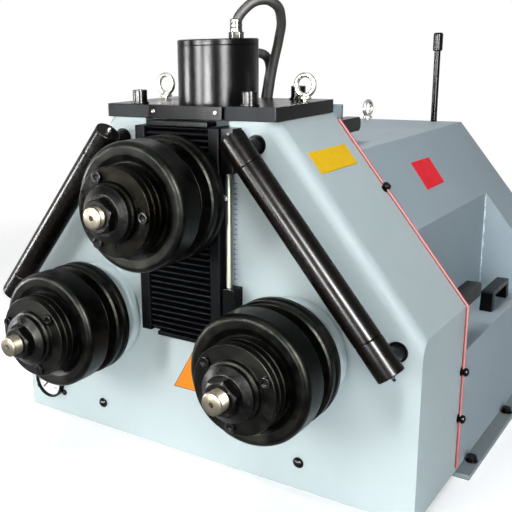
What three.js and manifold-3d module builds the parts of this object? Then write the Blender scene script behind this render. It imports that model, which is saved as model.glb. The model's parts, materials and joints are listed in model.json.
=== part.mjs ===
// Three-roll hydraulic ring roller. A welded steel body carries two fixed lower rolls, a top roll
// on a hydraulic slide, and a slanted guide roller on each side. A sheet hood behind the body
// covers the gear motors and the power pack. Sizes are millimetres, +Z is up, +X is to the right
// of someone facing the rolls and +Y runs into the machine. Inside the machine group the face of
// the front plate is Y = 0 and the underside of the body is Z = 0.
import * as THREE from 'three';
import { mergeVertices } from 'three/addons/utils/BufferGeometryUtils.js';
import Module from 'manifold-3d';

const wasm = await Module();
wasm.setup();

// Clearances
const seatGap = 0.3;
const slideGap = 0.6;
const turnGap = 0.4;

// How far a cutter runs past the face it opens, and a fused piece into its neighbour
const overrun = 1;

// Body
const bodyHalfWidth = 493;
const bodySideHeight = 360;
const bodyTopHalfWidth = 200;
const bodyHeight = 726;
const bodyDepth = 239;
const frontPlate = 25;
const rearPlate = 12;
const bodyWall = 8;
const bodyRoof = 20;
const bodyFoldRadius = 26;

// Base plate
const basePlate = 12;
const baseFrontInset = 20;
const baseSideInset = 23;
const baseFlange = 30;

// Rear hood
const hoodLength = 666;
const hoodBayLength = 493;
const hoodBayHalfWidth = 383;
const hoodLedgeHeight = bodySideHeight - 98;
const hoodHeight = bodyHeight - 74;
const hoodWall = 4;

// Shafts and rolls
const shaftDiameter = 80;
const shaftThread = 40.2;
const shaftFront = 288;
const shaftChamfer = 2;
const shaftSpline = 60;
const splineLength = 60;
const threadRunOut = 3;
const lowerRollSpread = 486;
const lowerRollHeight = 294;
const topRollDrop = 145;
const topRollHeight = bodyHeight - topRollDrop;
const topRollTravel = 150;
const topRollForward = 11;
const rollDiameter = 245;
const rollRear = 50;
const rearRollWidth = 42;
const rollGap = 30;
const frontRollWidth = 56;
const rollShoulder = 12;
const rollEdge = 3;
const rollRound = 5;
const rollDish = 8;
const rollDishDiameter = 196;
const dishLip = 1;
const sleeveDiameter = 194;
const rollGroove = 3;
const shoulderDiameter = 116;

// Retaining disc, screws and collar nut
const discDiameter = 166;
const discHub = 110;
const discHubLength = 13;
const discRings = 3;
const discRing = 14.2;
const discGroove = 2;
const discEdge = 1.5;
const discSeatGap = 2;
const screwCircle = 139.4;
const screwHead = 24;
const screwHeadHeight = 6;
const collarDiameter = 103.4;
const collarRim = 7;
const collarCone = 9;
const collarNeck = 76;
const nutAcrossFlats = 60;
const nutHeight = 17;
const nutCrown = 3;

// Slideway, slide block and cylinder
const slidewayHalfWidth = 75;
const railWidth = 25;
const railFront = 38;
const railChamfer = 2;
const railBottom = 287;
const railTop = bodyHeight - 11;
const slideFront = 36;
const slideBelowShaft = 85;
const slideAboveShaft = 75;
const slideWing = 43;
const slideWingDepth = 24;
const slideTailAbove = 62;
const slideTailOut = 6;
const rodSeat = 10;
const cylinderDiameter = 164.8;
const cylinderBore = 124;
const cylinderSet = 116.6;
const cylinderOverSlide = 4.3;
const cylinderAbove = 112;
const cylinderCap = 12;
const cylinderCapStep = 1;
const cylinderCapEdge = 1.5;
const glandLength = 24;
const rodDiameter = 70;
const pistonHeight = 22;
const pistonTopGap = 2.3;

// Bellows
const pleatPitch = 12.3;
const pleatDepth = 9;
const pleatRidge = 0.8;
const bellowsFront = 34;
const bellowsDepth = 24;
const bellowsFlange = 9;
const endBlockHalfWidth = 61;

// Top plate
const topPlate = 27;
const coverPlateHalfWidth = 87.5;
const coverPlateThickness = 8;
const coverPlateInset = 0.5;
const topBoltHead = 30;
const topBoltHeight = 27;
const topBoltWasher = 38;
const topBoltWasherHeight = 3;
const topBoltSpread = 263;
const topBoltInset = 23;
const eyeRing = 40;
const eyeWire = 10;
const eyeShank = 10;
const eyeShankShown = 3;
const eyeCollar = 26;
const eyeCollarHeight = 8;
const eyeCollarEdge = 1.5;
const eyeX = bodyTopHalfWidth - 28;
const eyeSet = 167;
const eyeTurn = -3;
const hoodEyeTurn = 83;
const hoodEyeSet = 651;

// Guide rollers
const guideTopX = bodyTopHalfWidth - 55.4;
const guideTopZ = bodyHeight - 22.8;
const guideBottomX = bodyHalfWidth - 28.5;
const guideBottomZ = bodySideHeight - 46.5;
const guideFront = 65.6;
const guideDiameter = 52.4;
const guideCollar = 62;
const guideLowerCollar = 70;
const guideCollarEdge = 3;
const guideSleeveEdge = 1;
const guideAxle = 24;
const guideAxleDepth = 20;
const guidePin = 29;
const guidePinInset = 25;

// Rear bars, hood handles, mast and upstand
const rearBar = 30;
const rearBarChamfer = 7;
const upperBarX = bodyTopHalfWidth - 1;
const upperBarZ = bodyHeight - 31;
const upperBarLength = 109;
const lowerBarX = bodyHalfWidth - 23;
const lowerBarZ = bodySideHeight + 1;
const lowerBarLength = 131;
const handleX = bodyHalfWidth - 36;
const handleSet = 291;
const handleLength = 125;
const handleWidth = 28;
const handleHeight = 47;
const handleLeg = 22;
const handleGrip = 13;
const handleLean = 5;
const handleEdge = 4;
const mastX = 190;
const mastSet = 651;
const mastDiameter = 16;
const mastHeight = 185;
const mastKnob = 25;
const mastKnobHeight = 47;
const mastKnobEdge = 3;
const upstandRight = 159;
const upstandWidth = 80;
const upstandSet = 131;
const upstandHeight = 80.5;
const upstandThickness = 6;

// Height scale and pointer
const scaleInner = slidewayHalfWidth + railWidth + 2;
const scaleOuter = scaleInner + 26.5;
const scaleDepth = 34;
const scaleLowerBottom = railBottom + 13;
const scaleLowerTop = railBottom + 118;
const scaleUpperBottom = railTop - 84;
const scaleRodDiameter = 12.6;
const scaleRodX = scaleInner + 6.5;
const scaleRodSet = 18;
const pointerReach = scaleOuter - 3.5;
const pointerTip = 7.5;
const pointerThickness = 2.5;
const pointerHeight = 8;
const pointerArm = 16;
const pointerRise = 4.3;
const pointerArmRise = 25;
const pointerArmGap = 3;

// Gauge
const gaugeX = 70 - bodyHalfWidth;
const gaugeZ = 80;
const gaugeDiameter = 86;
const gaugeDepth = 14;
const gaugeRecess = 8;
const gaugeRim = 5;
const gaugeEdge = 2;
const gaugeLug = 14;
const gaugeLugHeight = 4;
const gaugeLugCircle = gaugeDiameter + 12;
const needleLength = 30;
const needleTail = 12;
const needleTipWidth = 2.4;
const needleWidth = 5.2;
const needleTailWidth = 7.2;
const needleHub = 9;
const needleHubFront = 0.5;
const needleThickness = 2;
const needleOverDial = 1.5;
const needleHubGap = 0.3;
const needleRest = -135;

// Bearings, gear motors and power pack
const bearingOuter = 124;
const bearingFlange = 222;
const bearingFlangeThickness = 24;
const bearingFlangeEdge = 6;
const bearingLength = 150;
const gearFlange = 190;
const gearDiameter = 176;
const topGearFlange = 128;
const topGearDiameter = 120;
const gearFlangeThickness = 22;
const gearLength = 130;
const motorDiameter = 100;
const motorLength = 110;
const motorTaper = 8;
const tankWidth = 300;
const tankLength = 240;
const tankHeight = 230;
const tankSet = 370;
const pumpDiameter = 150;
const pumpHeight = 180;
const pumpEdge = 6;

// Hoses and safety cord
const hoseDiameter = 20;
const hoseSides = 8;
const pressureHoseSteps = 22;
const returnHoseSteps = 18;
const cordDiameter = 6;
const cordSides = 8;
const cordGap = 0.8;
const cordOffset = 3.6;
const cordEnds = 12;

// Facets round each kind of turned piece
const rollFacets = 24;
const discFacets = 20;
const shaftFacets = 16;
const smallFacets = 12;

// Finishes
const finish = (color, roughness, metalness) => new THREE.MeshStandardMaterial({
  color,
  roughness,
  metalness,
});
const bodyPaint = finish(0xa9b9c0, 0.45, 0.1);
const blackOxide = finish(0x1b1a18, 0.35, 0.9);
const browned = finish(0x2b2420, 0.4, 0.9);
const bareSteel = finish(0xb5aa98, 0.35, 1.0);
const zinc = finish(0xb9b9b2, 0.3, 1.0);
const blackPaint = finish(0x15171a, 0.4, 0.2);
const blackPlastic = finish(0x121315, 0.5, 0.0);
const bellowsCloth = finish(0x0e0f11, 0.7, 0.0);
const rubber = finish(0x1a1a1a, 0.7, 0.0);
const redCord = finish(0xb3201f, 0.5, 0.0);
const castGrey = finish(0x6a7176, 0.6, 0.5);

// Solids

const merged = (geometry) => {
  const bare = geometry.index ? geometry.toNonIndexed() : geometry.clone();
  bare.deleteAttribute('normal');
  bare.deleteAttribute('uv');
  return mergeVertices(bare, 1e-4);
};

const toSolid = (geometry) => {
  const welded = merged(geometry);
  return new wasm.Manifold(new wasm.Mesh({
    numProp: 3,
    vertProperties: new Float32Array(welded.attributes.position.array),
    triVerts: new Uint32Array(welded.index.array),
  }));
};

const toGeometry = (solid) => {
  const mesh = solid.getMesh();
  const geometry = new THREE.BufferGeometry();
  geometry.setAttribute('position', new THREE.BufferAttribute(mesh.vertProperties, 3));
  geometry.setIndex(new THREE.BufferAttribute(mesh.triVerts, 1));
  return geometry;
};

const joined = (...geometries) => toGeometry(
  geometries.map(toSolid).reduce((sum, solid) => sum.add(solid)),
);

const cutBy = (geometry, ...tools) => toGeometry(
  tools.map(toSolid).reduce((rest, tool) => rest.subtract(tool), toSolid(geometry)),
);

// A box between two corners.
const block = (x0, x1, y0, y1, z0, z1) => new THREE.BoxGeometry(x1 - x0, y1 - y0, z1 - z0)
  .translate((x0 + x1) / 2, (y0 + y1) / 2, (z0 + z1) / 2);

// A profile of [x, z] points drawn along Y.
const prismY = (points, y0, y1) => {
  const shape = new THREE.Shape(points.map(([x, z]) => new THREE.Vector2(x, z)));
  return new THREE.ExtrudeGeometry(shape, { depth: y1 - y0, bevelEnabled: false })
    .rotateX(Math.PI / 2)
    .translate(0, y1, 0);
};

// A profile of [y, z] points drawn along X.
const prismX = (points, x0, x1) => {
  const shape = new THREE.Shape(points.map(([y, z]) => new THREE.Vector2(y, z)));
  return new THREE.ExtrudeGeometry(shape, { depth: x1 - x0, bevelEnabled: false })
    .rotateX(Math.PI / 2)
    .rotateZ(Math.PI / 2)
    .translate(x0, 0, 0);
};

// A profile of [radius, y] points, from low y to high y outside, turned about the Y axis.
const turned = (profile, facets) => new THREE.LatheGeometry(
  profile.map(([radius, y]) => new THREE.Vector2(radius, y)),
  facets,
);

// The same with [radius, z] points, turned about the Z axis.
const turnedZ = (profile, facets) => turned(profile, facets).rotateX(Math.PI / 2);

// A profile closed on itself, for a piece with a bore.
const ring = (profile) => [...profile, profile[0]];

// A round bar or cutter along Y.
const rodY = (diameter, y0, y1, facets) => turned(
  [[0, y0], [diameter / 2, y0], [diameter / 2, y1], [0, y1]],
  facets,
);

// A cutter along Y for what lies between two faces.
const throughY = (diameter, y0, y1, facets) => rodY(
  diameter,
  y0 - overrun,
  y1 + overrun,
  facets,
);

// A hole of so many facets that clears a round piece by the gap all the way round.
const clearing = (diameter, gap, facets) => (diameter / 2 + gap) / Math.cos(Math.PI / facets);

const hexPrism = (acrossFlats, y0, y1) => {
  const corner = acrossFlats / 2 / Math.cos(Math.PI / 6);
  return turned([[0, y0], [corner, y0], [corner, y1], [0, y1]], 6);
};

const tubeAlong = (points, diameter, sides, steps) => {
  const section = new THREE.Shape();
  section.absarc(0, 0, diameter / 2, 0, Math.PI * 2);
  const path = new THREE.CatmullRomCurve3(points.map((point) => new THREE.Vector3(...point)));
  return new THREE.ExtrudeGeometry(section, {
    steps,
    curveSegments: sides / 2,
    extrudePath: path,
    bevelEnabled: false,
  });
};

// A round cord through [x, z] points at one depth, mitred at each bend.
const cordThrough = (points, y, diameter, sides) => {
  const stations = points.map(([x, z]) => new THREE.Vector2(x, z));
  const vertices = [];
  const last = stations.length - 1;
  stations.forEach((here, index) => {
    const before = stations[Math.max(index - 1, 0)];
    const after = stations[Math.min(index + 1, last)];
    const arriving = here.clone().sub(index ? before : after).multiplyScalar(index ? 1 : -1);
    const leaving = after.clone().sub(here);
    const heading = arriving.normalize().add((index < last ? leaving : arriving).normalize());
    const stretch = 2 / heading.length();
    heading.normalize();
    for (let side = 0; side < sides; side += 1) {
      const turn = (2 * Math.PI * side) / sides;
      const across = Math.cos(turn) * stretch * diameter / 2;
      vertices.push(
        here.x + heading.y * across,
        y + Math.sin(turn) * diameter / 2,
        here.y - heading.x * across,
      );
    }
  });
  const faces = [];
  for (let station = 0; station < last; station += 1) {
    for (let side = 0; side < sides; side += 1) {
      const near = station * sides + side;
      const next = station * sides + (side + 1) % sides;
      faces.push(near, next, near + sides, next, next + sides, near + sides);
    }
  }
  for (let side = 1; side < sides - 1; side += 1) {
    const far = last * sides;
    faces.push(0, side + 1, side, far, far + side, far + side + 1);
  }
  const geometry = new THREE.BufferGeometry();
  geometry.setAttribute('position', new THREE.Float32BufferAttribute(vertices, 3));
  geometry.setIndex(faces);
  return geometry;
};

// Scene graph

const machine = new THREE.Group();
const placed = (name, geometry, material, parent = machine) => {
  const mesh = new THREE.Mesh(geometry, material);
  mesh.name = name;
  parent.add(mesh);
  return mesh;
};

// Heights and depths worked out from the sizes above
const topPlateTop = bodyHeight + seatGap + topPlate;
const hoodFront = bodyDepth + seatGap;
const hoodEnd = bodyDepth + hoodLength;
const boreRadius = clearing(shaftDiameter, seatGap, shaftFacets);
const slideBottom = topRollHeight - slideBelowShaft;
const slideTop = topRollHeight + slideAboveShaft;
const tailTop = topRollHeight + slideTailAbove;
const slideRear = bodyDepth + slideTailOut;
const slideHalfWidth = slidewayHalfWidth - seatGap;
const slotHalfWidth = slidewayHalfWidth + railWidth + seatGap;
const cylinderBottom = slideTop + cylinderOverSlide;
const cylinderTop = topPlateTop + cylinderAbove + cylinderCap;
const bodySlope = (bodyHalfWidth - bodyTopHalfWidth) / (bodyHeight - bodySideHeight);
const hoodTopHalfWidth = bodyTopHalfWidth + (bodyHeight - hoodHeight) * bodySlope;
const hoodBayHeight = bodyHeight - (hoodBayHalfWidth - bodyTopHalfWidth) / bodySlope;

// Body

const mirrored = (half) => [...half, ...half.map(([x, z]) => [-x, z]).reverse()];

// The hexagonal outline of the body, drawn in by a wall all round.
const bodyOutline = (wall, roof) => {
  const slant = wall * Math.hypot(1, bodySlope);
  const shoulder = wall * (Math.hypot(1, bodySlope) - 1) / bodySlope;
  return mirrored([
    [bodyHalfWidth - wall, wall],
    [bodyHalfWidth - wall, bodySideHeight - shoulder],
    [bodyTopHalfWidth + roof * bodySlope - slant, bodyHeight - roof],
  ]);
};

// What a press brake leaves off the edge between the front plate and a sloping side.
const foldCutter = () => {
  const arcSteps = 4;
  const points = [[-overrun, overrun], [-overrun, -bodyFoldRadius]];
  for (let step = 0; step <= arcSteps; step += 1) {
    const turn = (Math.PI / 2) * (step / arcSteps);
    const along = bodyFoldRadius * (1 - Math.cos(turn));
    points.push([along, bodyFoldRadius * (Math.sin(turn) - 1)]);
  }
  points.push([bodyFoldRadius, overrun]);
  const shape = new THREE.Shape(points.map(([y, out]) => new THREE.Vector2(out, y)));
  const slope = Math.atan(bodySlope);
  const reach = Math.hypot(bodyHalfWidth - bodyTopHalfWidth, bodyHeight - bodySideHeight);
  return new THREE.ExtrudeGeometry(shape, { depth: reach + 2 * bodyFoldRadius, bevelEnabled: false })
    .translate(0, 0, -reach - bodyFoldRadius)
    .rotateY(-slope)
    .translate(bodyTopHalfWidth, 0, bodyHeight);
};

const rollPlaces = {
  left: { x: -lowerRollSpread / 2, z: lowerRollHeight, forward: 0, phase: 42.6 },
  right: { x: lowerRollSpread / 2, z: lowerRollHeight, forward: 0, phase: 24.7 },
  top: { x: 0, z: topRollHeight, forward: topRollForward, phase: -2 },
};

const guideRun = Math.hypot(guideBottomX - guideTopX, guideTopZ - guideBottomZ);
const guideTilt = Math.atan2(guideTopZ - guideBottomZ, guideBottomX - guideTopX);
const guidePinAt = (along) => [
  guideTopX + Math.cos(guideTilt) * along,
  guideTopZ - Math.sin(guideTilt) * along,
];
const guidePins = {
  upper: guidePinAt(guidePinInset),
  lower: guidePinAt(guideRun - guidePinInset),
};

// The round hole that a plate between two heights has for the cylinder.
const cylinderHole = (bottom, top) => {
  const radius = clearing(cylinderDiameter, seatGap, rollFacets);
  return turnedZ([
    [0, bottom - overrun],
    [radius, bottom - overrun],
    [radius, top + overrun],
    [0, top + overrun],
  ], rollFacets).translate(0, cylinderSet, 0);
};

const frontHousing = () => {
  const bearingHole = 2 * clearing(bearingOuter, seatGap, shaftFacets);
  const shaftHole = 2 * clearing(shaftDiameter, slideGap, shaftFacets);
  const pinHole = 2 * clearing(guidePin, seatGap, smallFacets);
  const tools = [
    prismY(bodyOutline(bodyWall, bodyRoof), frontPlate, bodyDepth - rearPlate),
    block(
      -slotHalfWidth,
      slotHalfWidth,
      -overrun,
      frontPlate + overrun,
      railBottom - seatGap,
      bodyHeight + overrun,
    ),
    block(
      -slideHalfWidth - slideGap,
      slideHalfWidth + slideGap,
      bodyDepth - rearPlate - overrun,
      bodyDepth + overrun,
      slideBottom - topRollTravel - slideGap,
      tailTop + slideGap,
    ),
    cylinderHole(bodyHeight - bodyRoof, bodyHeight),
  ];
  for (const side of [-1, 1]) {
    const axis = [side * lowerRollSpread / 2, 0, lowerRollHeight];
    tools.push(throughY(bearingHole, 0, frontPlate, shaftFacets).translate(...axis));
    tools.push(throughY(shaftHole, bodyDepth - rearPlate, bodyDepth, shaftFacets)
      .translate(...axis));
    for (const [x, z] of Object.values(guidePins)) {
      tools.push(throughY(pinHole, 0, frontPlate, smallFacets).translate(side * x, 0, z));
    }
  }
  const fold = foldCutter();
  tools.push(fold);
  tools.push(toGeometry(toSolid(fold).mirror([1, 0, 0])));
  const outline = mirrored([
    [bodyHalfWidth, 0],
    [bodyHalfWidth, bodySideHeight],
    [bodyTopHalfWidth, bodyHeight],
  ]);
  return cutBy(prismY(outline, 0, bodyDepth), ...tools);
};

const basePlateSolid = () => {
  const front = bodyHalfWidth - baseSideInset;
  const rear = bodyHalfWidth + baseFlange;
  const plan = [
    [-front, baseFrontInset],
    [front, baseFrontInset],
    [front, bodyDepth],
    [rear, bodyDepth],
    [rear, hoodEnd],
    [-rear, hoodEnd],
    [-rear, bodyDepth],
    [-front, bodyDepth],
  ];
  const shape = new THREE.Shape(plan.map(([x, y]) => new THREE.Vector2(x, y)));
  return new THREE.ExtrudeGeometry(shape, { depth: basePlate, bevelEnabled: false })
    .translate(0, 0, -basePlate - seatGap);
};

// The hood is two folded shells in one: a bay with a step-in ledge on each side, and a full-width
// end behind it. It is open towards the body and at the bottom.
const rearHood = () => {
  const bay = (wall) => mirrored([
    [bodyHalfWidth - wall, wall ? -overrun : seatGap],
    [bodyHalfWidth - wall, hoodLedgeHeight - wall],
    [hoodBayHalfWidth - wall, hoodLedgeHeight - wall],
    [hoodBayHalfWidth - wall, hoodBayHeight - wall / 2],
    [hoodTopHalfWidth - wall / 2, hoodHeight - wall],
  ]);
  const end = (wall) => mirrored([
    [bodyHalfWidth - wall, wall ? -overrun : seatGap],
    [bodyHalfWidth - wall, bodySideHeight - wall / 2],
    [hoodTopHalfWidth - wall / 2, hoodHeight - wall],
  ]);
  const stepY = bodyDepth + hoodBayLength;
  const outside = joined(
    prismY(bay(0), hoodFront, stepY + overrun),
    prismY(end(0), stepY, hoodEnd),
    block(
      upstandRight - upstandWidth,
      upstandRight,
      bodyDepth + upstandSet,
      bodyDepth + upstandSet + upstandThickness,
      hoodHeight - overrun,
      hoodHeight + upstandHeight,
    ),
  );
  return cutBy(
    outside,
    prismY(bay(hoodWall), hoodFront - overrun, stepY + hoodWall + overrun),
    prismY(end(hoodWall), stepY + hoodWall, hoodEnd - hoodWall),
  );
};

// Shafts and rolls. Each profile is written for the lower rolls, and the top set sits further
// forward by topRollForward.

const rearRollFront = rollRear + rearRollWidth;
const frontRollBack = rearRollFront + rollGap;
const frontRollFace = frontRollBack + frontRollWidth;
const hubFace = frontRollFace - rollDish;
const discFace = hubFace + seatGap + discRings * (discRing + discGroove);
const collarBack = discFace + discHubLength + seatGap;

const shaftSolid = (forward, shoulderBack, rearEnd) => {
  const thread = shaftThread / 2;
  const body = shaftDiameter / 2;
  const step = collarBack + forward - threadRunOut;
  const spline = shaftSpline / 2;
  return cutBy(turned([
    [0, -shaftFront],
    [thread - shaftChamfer, -shaftFront],
    [thread, -shaftFront + shaftChamfer],
    [thread, -step],
    [body, -step],
    [body, -rollRear + seatGap],
    [shoulderDiameter / 2, -rollRear + seatGap],
    [shoulderDiameter / 2, -shoulderBack],
    [body, -shoulderBack],
    [body, rearEnd],
    [spline, rearEnd],
    [spline, rearEnd + splineLength],
    [0, rearEnd + splineLength],
  ], shaftFacets), centreHole());
};

const centreHole = () => {
  const mouth = 5;
  const drill = 2.2;
  const facets = 8;
  return turned([
    [0, -shaftFront - overrun],
    [mouth, -shaftFront - overrun],
    [drill, -shaftFront + mouth],
    [drill, -shaftFront + 2 * mouth],
    [0, -shaftFront + 2 * mouth],
  ], facets);
};

const rearRollSolid = (forward) => {
  const outer = rollDiameter / 2;
  const middle = rollRear + rearRollWidth / 2;
  const cornerSteps = 2;
  const corner = [];
  for (let step = 0; step <= cornerSteps; step += 1) {
    const turn = (Math.PI / 2) * (step / cornerSteps);
    corner.push([rollRound * (1 - Math.sin(turn)), rollRound * (1 - Math.cos(turn))]);
  }
  const bore = boreRadius;
  return turned(ring([
    [bore, -frontRollBack - forward + seatGap],
    [sleeveDiameter / 2, -frontRollBack - forward + seatGap],
    [sleeveDiameter / 2, -rearRollFront],
    ...corner.map(([inset, back]) => [outer - inset, -rearRollFront + back]),
    [outer, -middle - rollGroove],
    [outer - rollGroove, -middle],
    [outer, -middle + rollGroove],
    [outer, -rollRear - rollRound],
    [outer - rollRound, -rollRear],
    [bore, -rollRear],
  ]), rollFacets);
};

const frontRollSolid = (forward) => {
  const outer = rollDiameter / 2;
  const dish = rollDishDiameter / 2;
  const seat = discDiameter / 2 + discSeatGap;
  const back = -frontRollBack - forward;
  const face = -frontRollFace - forward;
  const bore = boreRadius;
  const points = [[bore, face + rollDish], [seat, face + rollDish], [dish, face + dishLip]];
  const arcSteps = 4;
  for (let step = 0; step <= arcSteps; step += 1) {
    const turn = (Math.PI / 2) * (step / arcSteps);
    points.push([
      outer - rollShoulder * (1 - Math.sin(turn)),
      face + rollShoulder * (1 - Math.cos(turn)),
    ]);
  }
  points.push([outer, back - rollEdge], [outer - rollEdge, back], [bore, back]);
  return turned(ring(points), rollFacets);
};

const retainingDiscSolid = (forward, phase) => {
  const outer = discDiameter / 2;
  const hub = discHub / 2;
  const back = -hubFace - forward - seatGap;
  const face = -discFace - forward;
  const bore = boreRadius;
  const points = [
    [bore, face - discHubLength],
    [hub, face - discHubLength],
    [hub, face],
    [outer - discEdge, face],
  ];
  for (let count = 0; count < discRings; count += 1) {
    const near = face + count * (discRing + discGroove);
    points.push([outer, near + discEdge]);
    if (count < discRings - 1) {
      points.push([outer, near + discRing]);
      points.push([outer - discGroove, near + discRing + discGroove / 2]);
    }
  }
  points.push([outer, back], [bore, back]);
  const heads = [0, 1, 2].map((count) => {
    const angle = THREE.MathUtils.degToRad(phase + count * 120);
    return rodY(screwHead, face - screwHeadHeight, face + overrun, smallFacets).translate(
      (screwCircle / 2) * Math.cos(angle),
      0,
      (screwCircle / 2) * Math.sin(angle),
    );
  });
  return joined(turned(ring(points), discFacets), ...heads);
};

const collarNutSolid = (forward) => {
  const back = -collarBack - forward;
  const rim = back - collarRim;
  const neck = rim - collarCone;
  const front = neck - nutHeight;
  const collar = turned([
    [0, neck],
    [collarNeck / 2, neck],
    [collarDiameter / 2, rim],
    [collarDiameter / 2, back],
    [0, back],
  ], discFacets);
  const corner = nutAcrossFlats / 2 / Math.cos(Math.PI / 6);
  const crown = toSolid(turned([
    [0, front],
    [nutAcrossFlats / 2, front],
    [corner, front + nutCrown],
    [corner, neck + overrun],
    [0, neck + overrun],
  ], shaftFacets));
  const prism = hexPrism(nutAcrossFlats, front, neck + overrun);
  const nut = toGeometry(toSolid(prism).intersect(crown));
  const hole = 2 * clearing(shaftThread, seatGap, shaftFacets);
  return cutBy(joined(collar, nut), throughY(hole, front, back, shaftFacets));
};

const addRollSet = (name, { x, z, forward, phase }, shoulderBack, rearEnd) => {
  const set = new THREE.Group();
  set.position.set(x, 0, z);
  machine.add(set);
  placed(`${name}_shaft`, shaftSolid(forward, shoulderBack, rearEnd), bareSteel, set);
  placed(`${name}_rear_roll`, rearRollSolid(forward), blackOxide, set);
  placed(`${name}_front_roll`, frontRollSolid(forward), blackOxide, set);
  placed(`${name}_retaining_disc`, retainingDiscSolid(forward, phase), blackOxide, set);
  placed(`${name}_collar_nut`, collarNutSolid(forward), blackOxide, set);
};

// The bearing cartridge has a thick painted flange in front of the plate, with a rounded edge.
const bearingSolid = () => {
  const front = -bearingFlangeThickness;
  const points = [[boreRadius, front]];
  const arcSteps = 2;
  for (let step = 0; step <= arcSteps; step += 1) {
    const turn = (Math.PI / 2) * (step / arcSteps);
    points.push([
      bearingFlange / 2 - bearingFlangeEdge * (1 - Math.sin(turn)),
      front + bearingFlangeEdge * (1 - Math.cos(turn)),
    ]);
  }
  points.push([bearingFlange / 2, -seatGap], [bearingOuter / 2, -seatGap]);
  points.push([bearingOuter / 2, bearingLength], [boreRadius, bearingLength]);
  return turned(ring(points), shaftFacets);
};

// A planetary gear unit with its hydraulic motor behind it and a hollow input for the shaft.
const gearMotorSolid = (front, flange, gear) => {
  const socket = clearing(shaftSpline, seatGap, smallFacets);
  const gearStart = front + gearFlangeThickness;
  const motorStart = gearStart + gearLength;
  return turned([
    [0, front + splineLength + slideGap],
    [socket, front + splineLength + slideGap],
    [socket, front],
    [flange / 2, front],
    [flange / 2, gearStart],
    [gear / 2, gearStart],
    [gear / 2, motorStart],
    [motorDiameter / 2, motorStart + motorTaper],
    [motorDiameter / 2, motorStart + motorLength],
    [0, motorStart + motorLength],
  ], smallFacets);
};

const powerPackSolid = () => {
  const near = bodyDepth + tankSet;
  const tank = block(-tankWidth / 2, tankWidth / 2, near, near + tankLength, 0, tankHeight);
  const pump = turnedZ([
    [0, tankHeight - overrun],
    [pumpDiameter / 2, tankHeight - overrun],
    [pumpDiameter / 2, tankHeight + pumpHeight - pumpEdge],
    [pumpDiameter / 2 - pumpEdge, tankHeight + pumpHeight],
    [0, tankHeight + pumpHeight],
  ], smallFacets).translate(0, near + tankLength / 2, 0);
  return joined(tank, pump);
};

// Slideway

const railSolid = (side) => {
  const inner = slidewayHalfWidth;
  const outer = slidewayHalfWidth + railWidth;
  const section = [
    [inner, frontPlate],
    [inner, -railFront + railChamfer],
    [inner + railChamfer, -railFront],
    [outer - railChamfer, -railFront],
    [outer, -railFront + railChamfer],
    [outer, frontPlate],
  ].map(([x, y]) => new THREE.Vector2(side * x, y));
  return new THREE.ExtrudeGeometry(new THREE.Shape(section), {
    depth: railTop - railBottom,
    bevelEnabled: false,
  }).translate(0, 0, railBottom);
};

// The slide block is a T: a crown between the rails, wings behind the front plate, and a tail
// through the rear plate that carries the top gear motor. The pointer arm is screwed to its face.
const slideSolid = () => {
  const wingFront = frontPlate + slideGap;
  const wing = slideHalfWidth + slideWing;
  const faceY = -slideFront;
  const armBottom = topRollHeight + pointerArmRise - pointerArm / 2;
  const armTop = armBottom + pointerArm;
  const armInner = shoulderDiameter / 2 + pointerArmGap;
  const armBend = slideHalfWidth + pointerArmGap;
  const armBack = -railFront - slideGap;
  const armFront = armBack - pointerThickness;
  const tipZ = topRollHeight + pointerRise;
  const tipRoot = pointerReach - pointerTip;
  const crownBack = cylinderSet + rodDiameter / 2 + rodSeat;
  const crown = block(-slideHalfWidth, slideHalfWidth, faceY, crownBack, slideBottom, slideTop);
  const tail = block(-slideHalfWidth, slideHalfWidth, faceY, slideRear, slideBottom, tailTop);
  const wings = block(-wing, wing, wingFront, wingFront + slideWingDepth, slideBottom, slideTop);
  const foot = block(armInner, slideHalfWidth, armFront, faceY + overrun, armBottom, armTop);
  const arm = prismY([
    [armInner, armBottom],
    [armBend, armBottom],
    [tipRoot, tipZ - pointerHeight / 2],
    [pointerReach, tipZ],
    [tipRoot, tipZ + pointerHeight / 2],
    [armBend, armTop],
    [armInner, armTop],
  ], armFront, armBack);
  const bore = throughY(2 * boreRadius, faceY, slideRear, shaftFacets)
    .translate(0, 0, topRollHeight);
  return cutBy(joined(crown, tail, wings, foot, arm), bore);
};

// Way-cover bellows: pleats in front, a flat back, and a flange at the fixed end.
const bellowsSolid = (bottom, top) => {
  const pleats = Math.max(2, Math.round((top - bottom) / pleatPitch));
  const pitch = (top - bottom) / pleats;
  const points = [[-bellowsFront + bellowsDepth, bottom]];
  points.push([-bellowsFront + pleatDepth, bottom]);
  for (let count = 0; count < pleats; count += 1) {
    points.push([-bellowsFront, bottom + pitch * (count + pleatRidge)]);
    points.push([-bellowsFront + pleatDepth, bottom + pitch * (count + 1)]);
  }
  points.push([-bellowsFront + bellowsDepth, top]);
  return prismX(points, -slideHalfWidth + seatGap, slideHalfWidth - seatGap);
};

// Hydraulic cylinder

const cylinderSolid = () => {
  const outer = cylinderDiameter / 2;
  const bore = cylinderBore / 2;
  const cap = outer - cylinderCapStep;
  const gland = clearing(rodDiameter, seatGap, shaftFacets);
  const top = topPlateTop + cylinderAbove;
  return turnedZ([
    [0, top],
    [bore, top],
    [bore, cylinderBottom + glandLength],
    [gland, cylinderBottom + glandLength],
    [gland, cylinderBottom],
    [outer, cylinderBottom],
    [outer, top],
    [cap, top + cylinderCapStep],
    [cap, top + cylinderCap - cylinderCapEdge],
    [cap - cylinderCapEdge, top + cylinderCap],
    [0, top + cylinderCap],
  ], rollFacets).translate(0, cylinderSet, 0);
};

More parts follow.
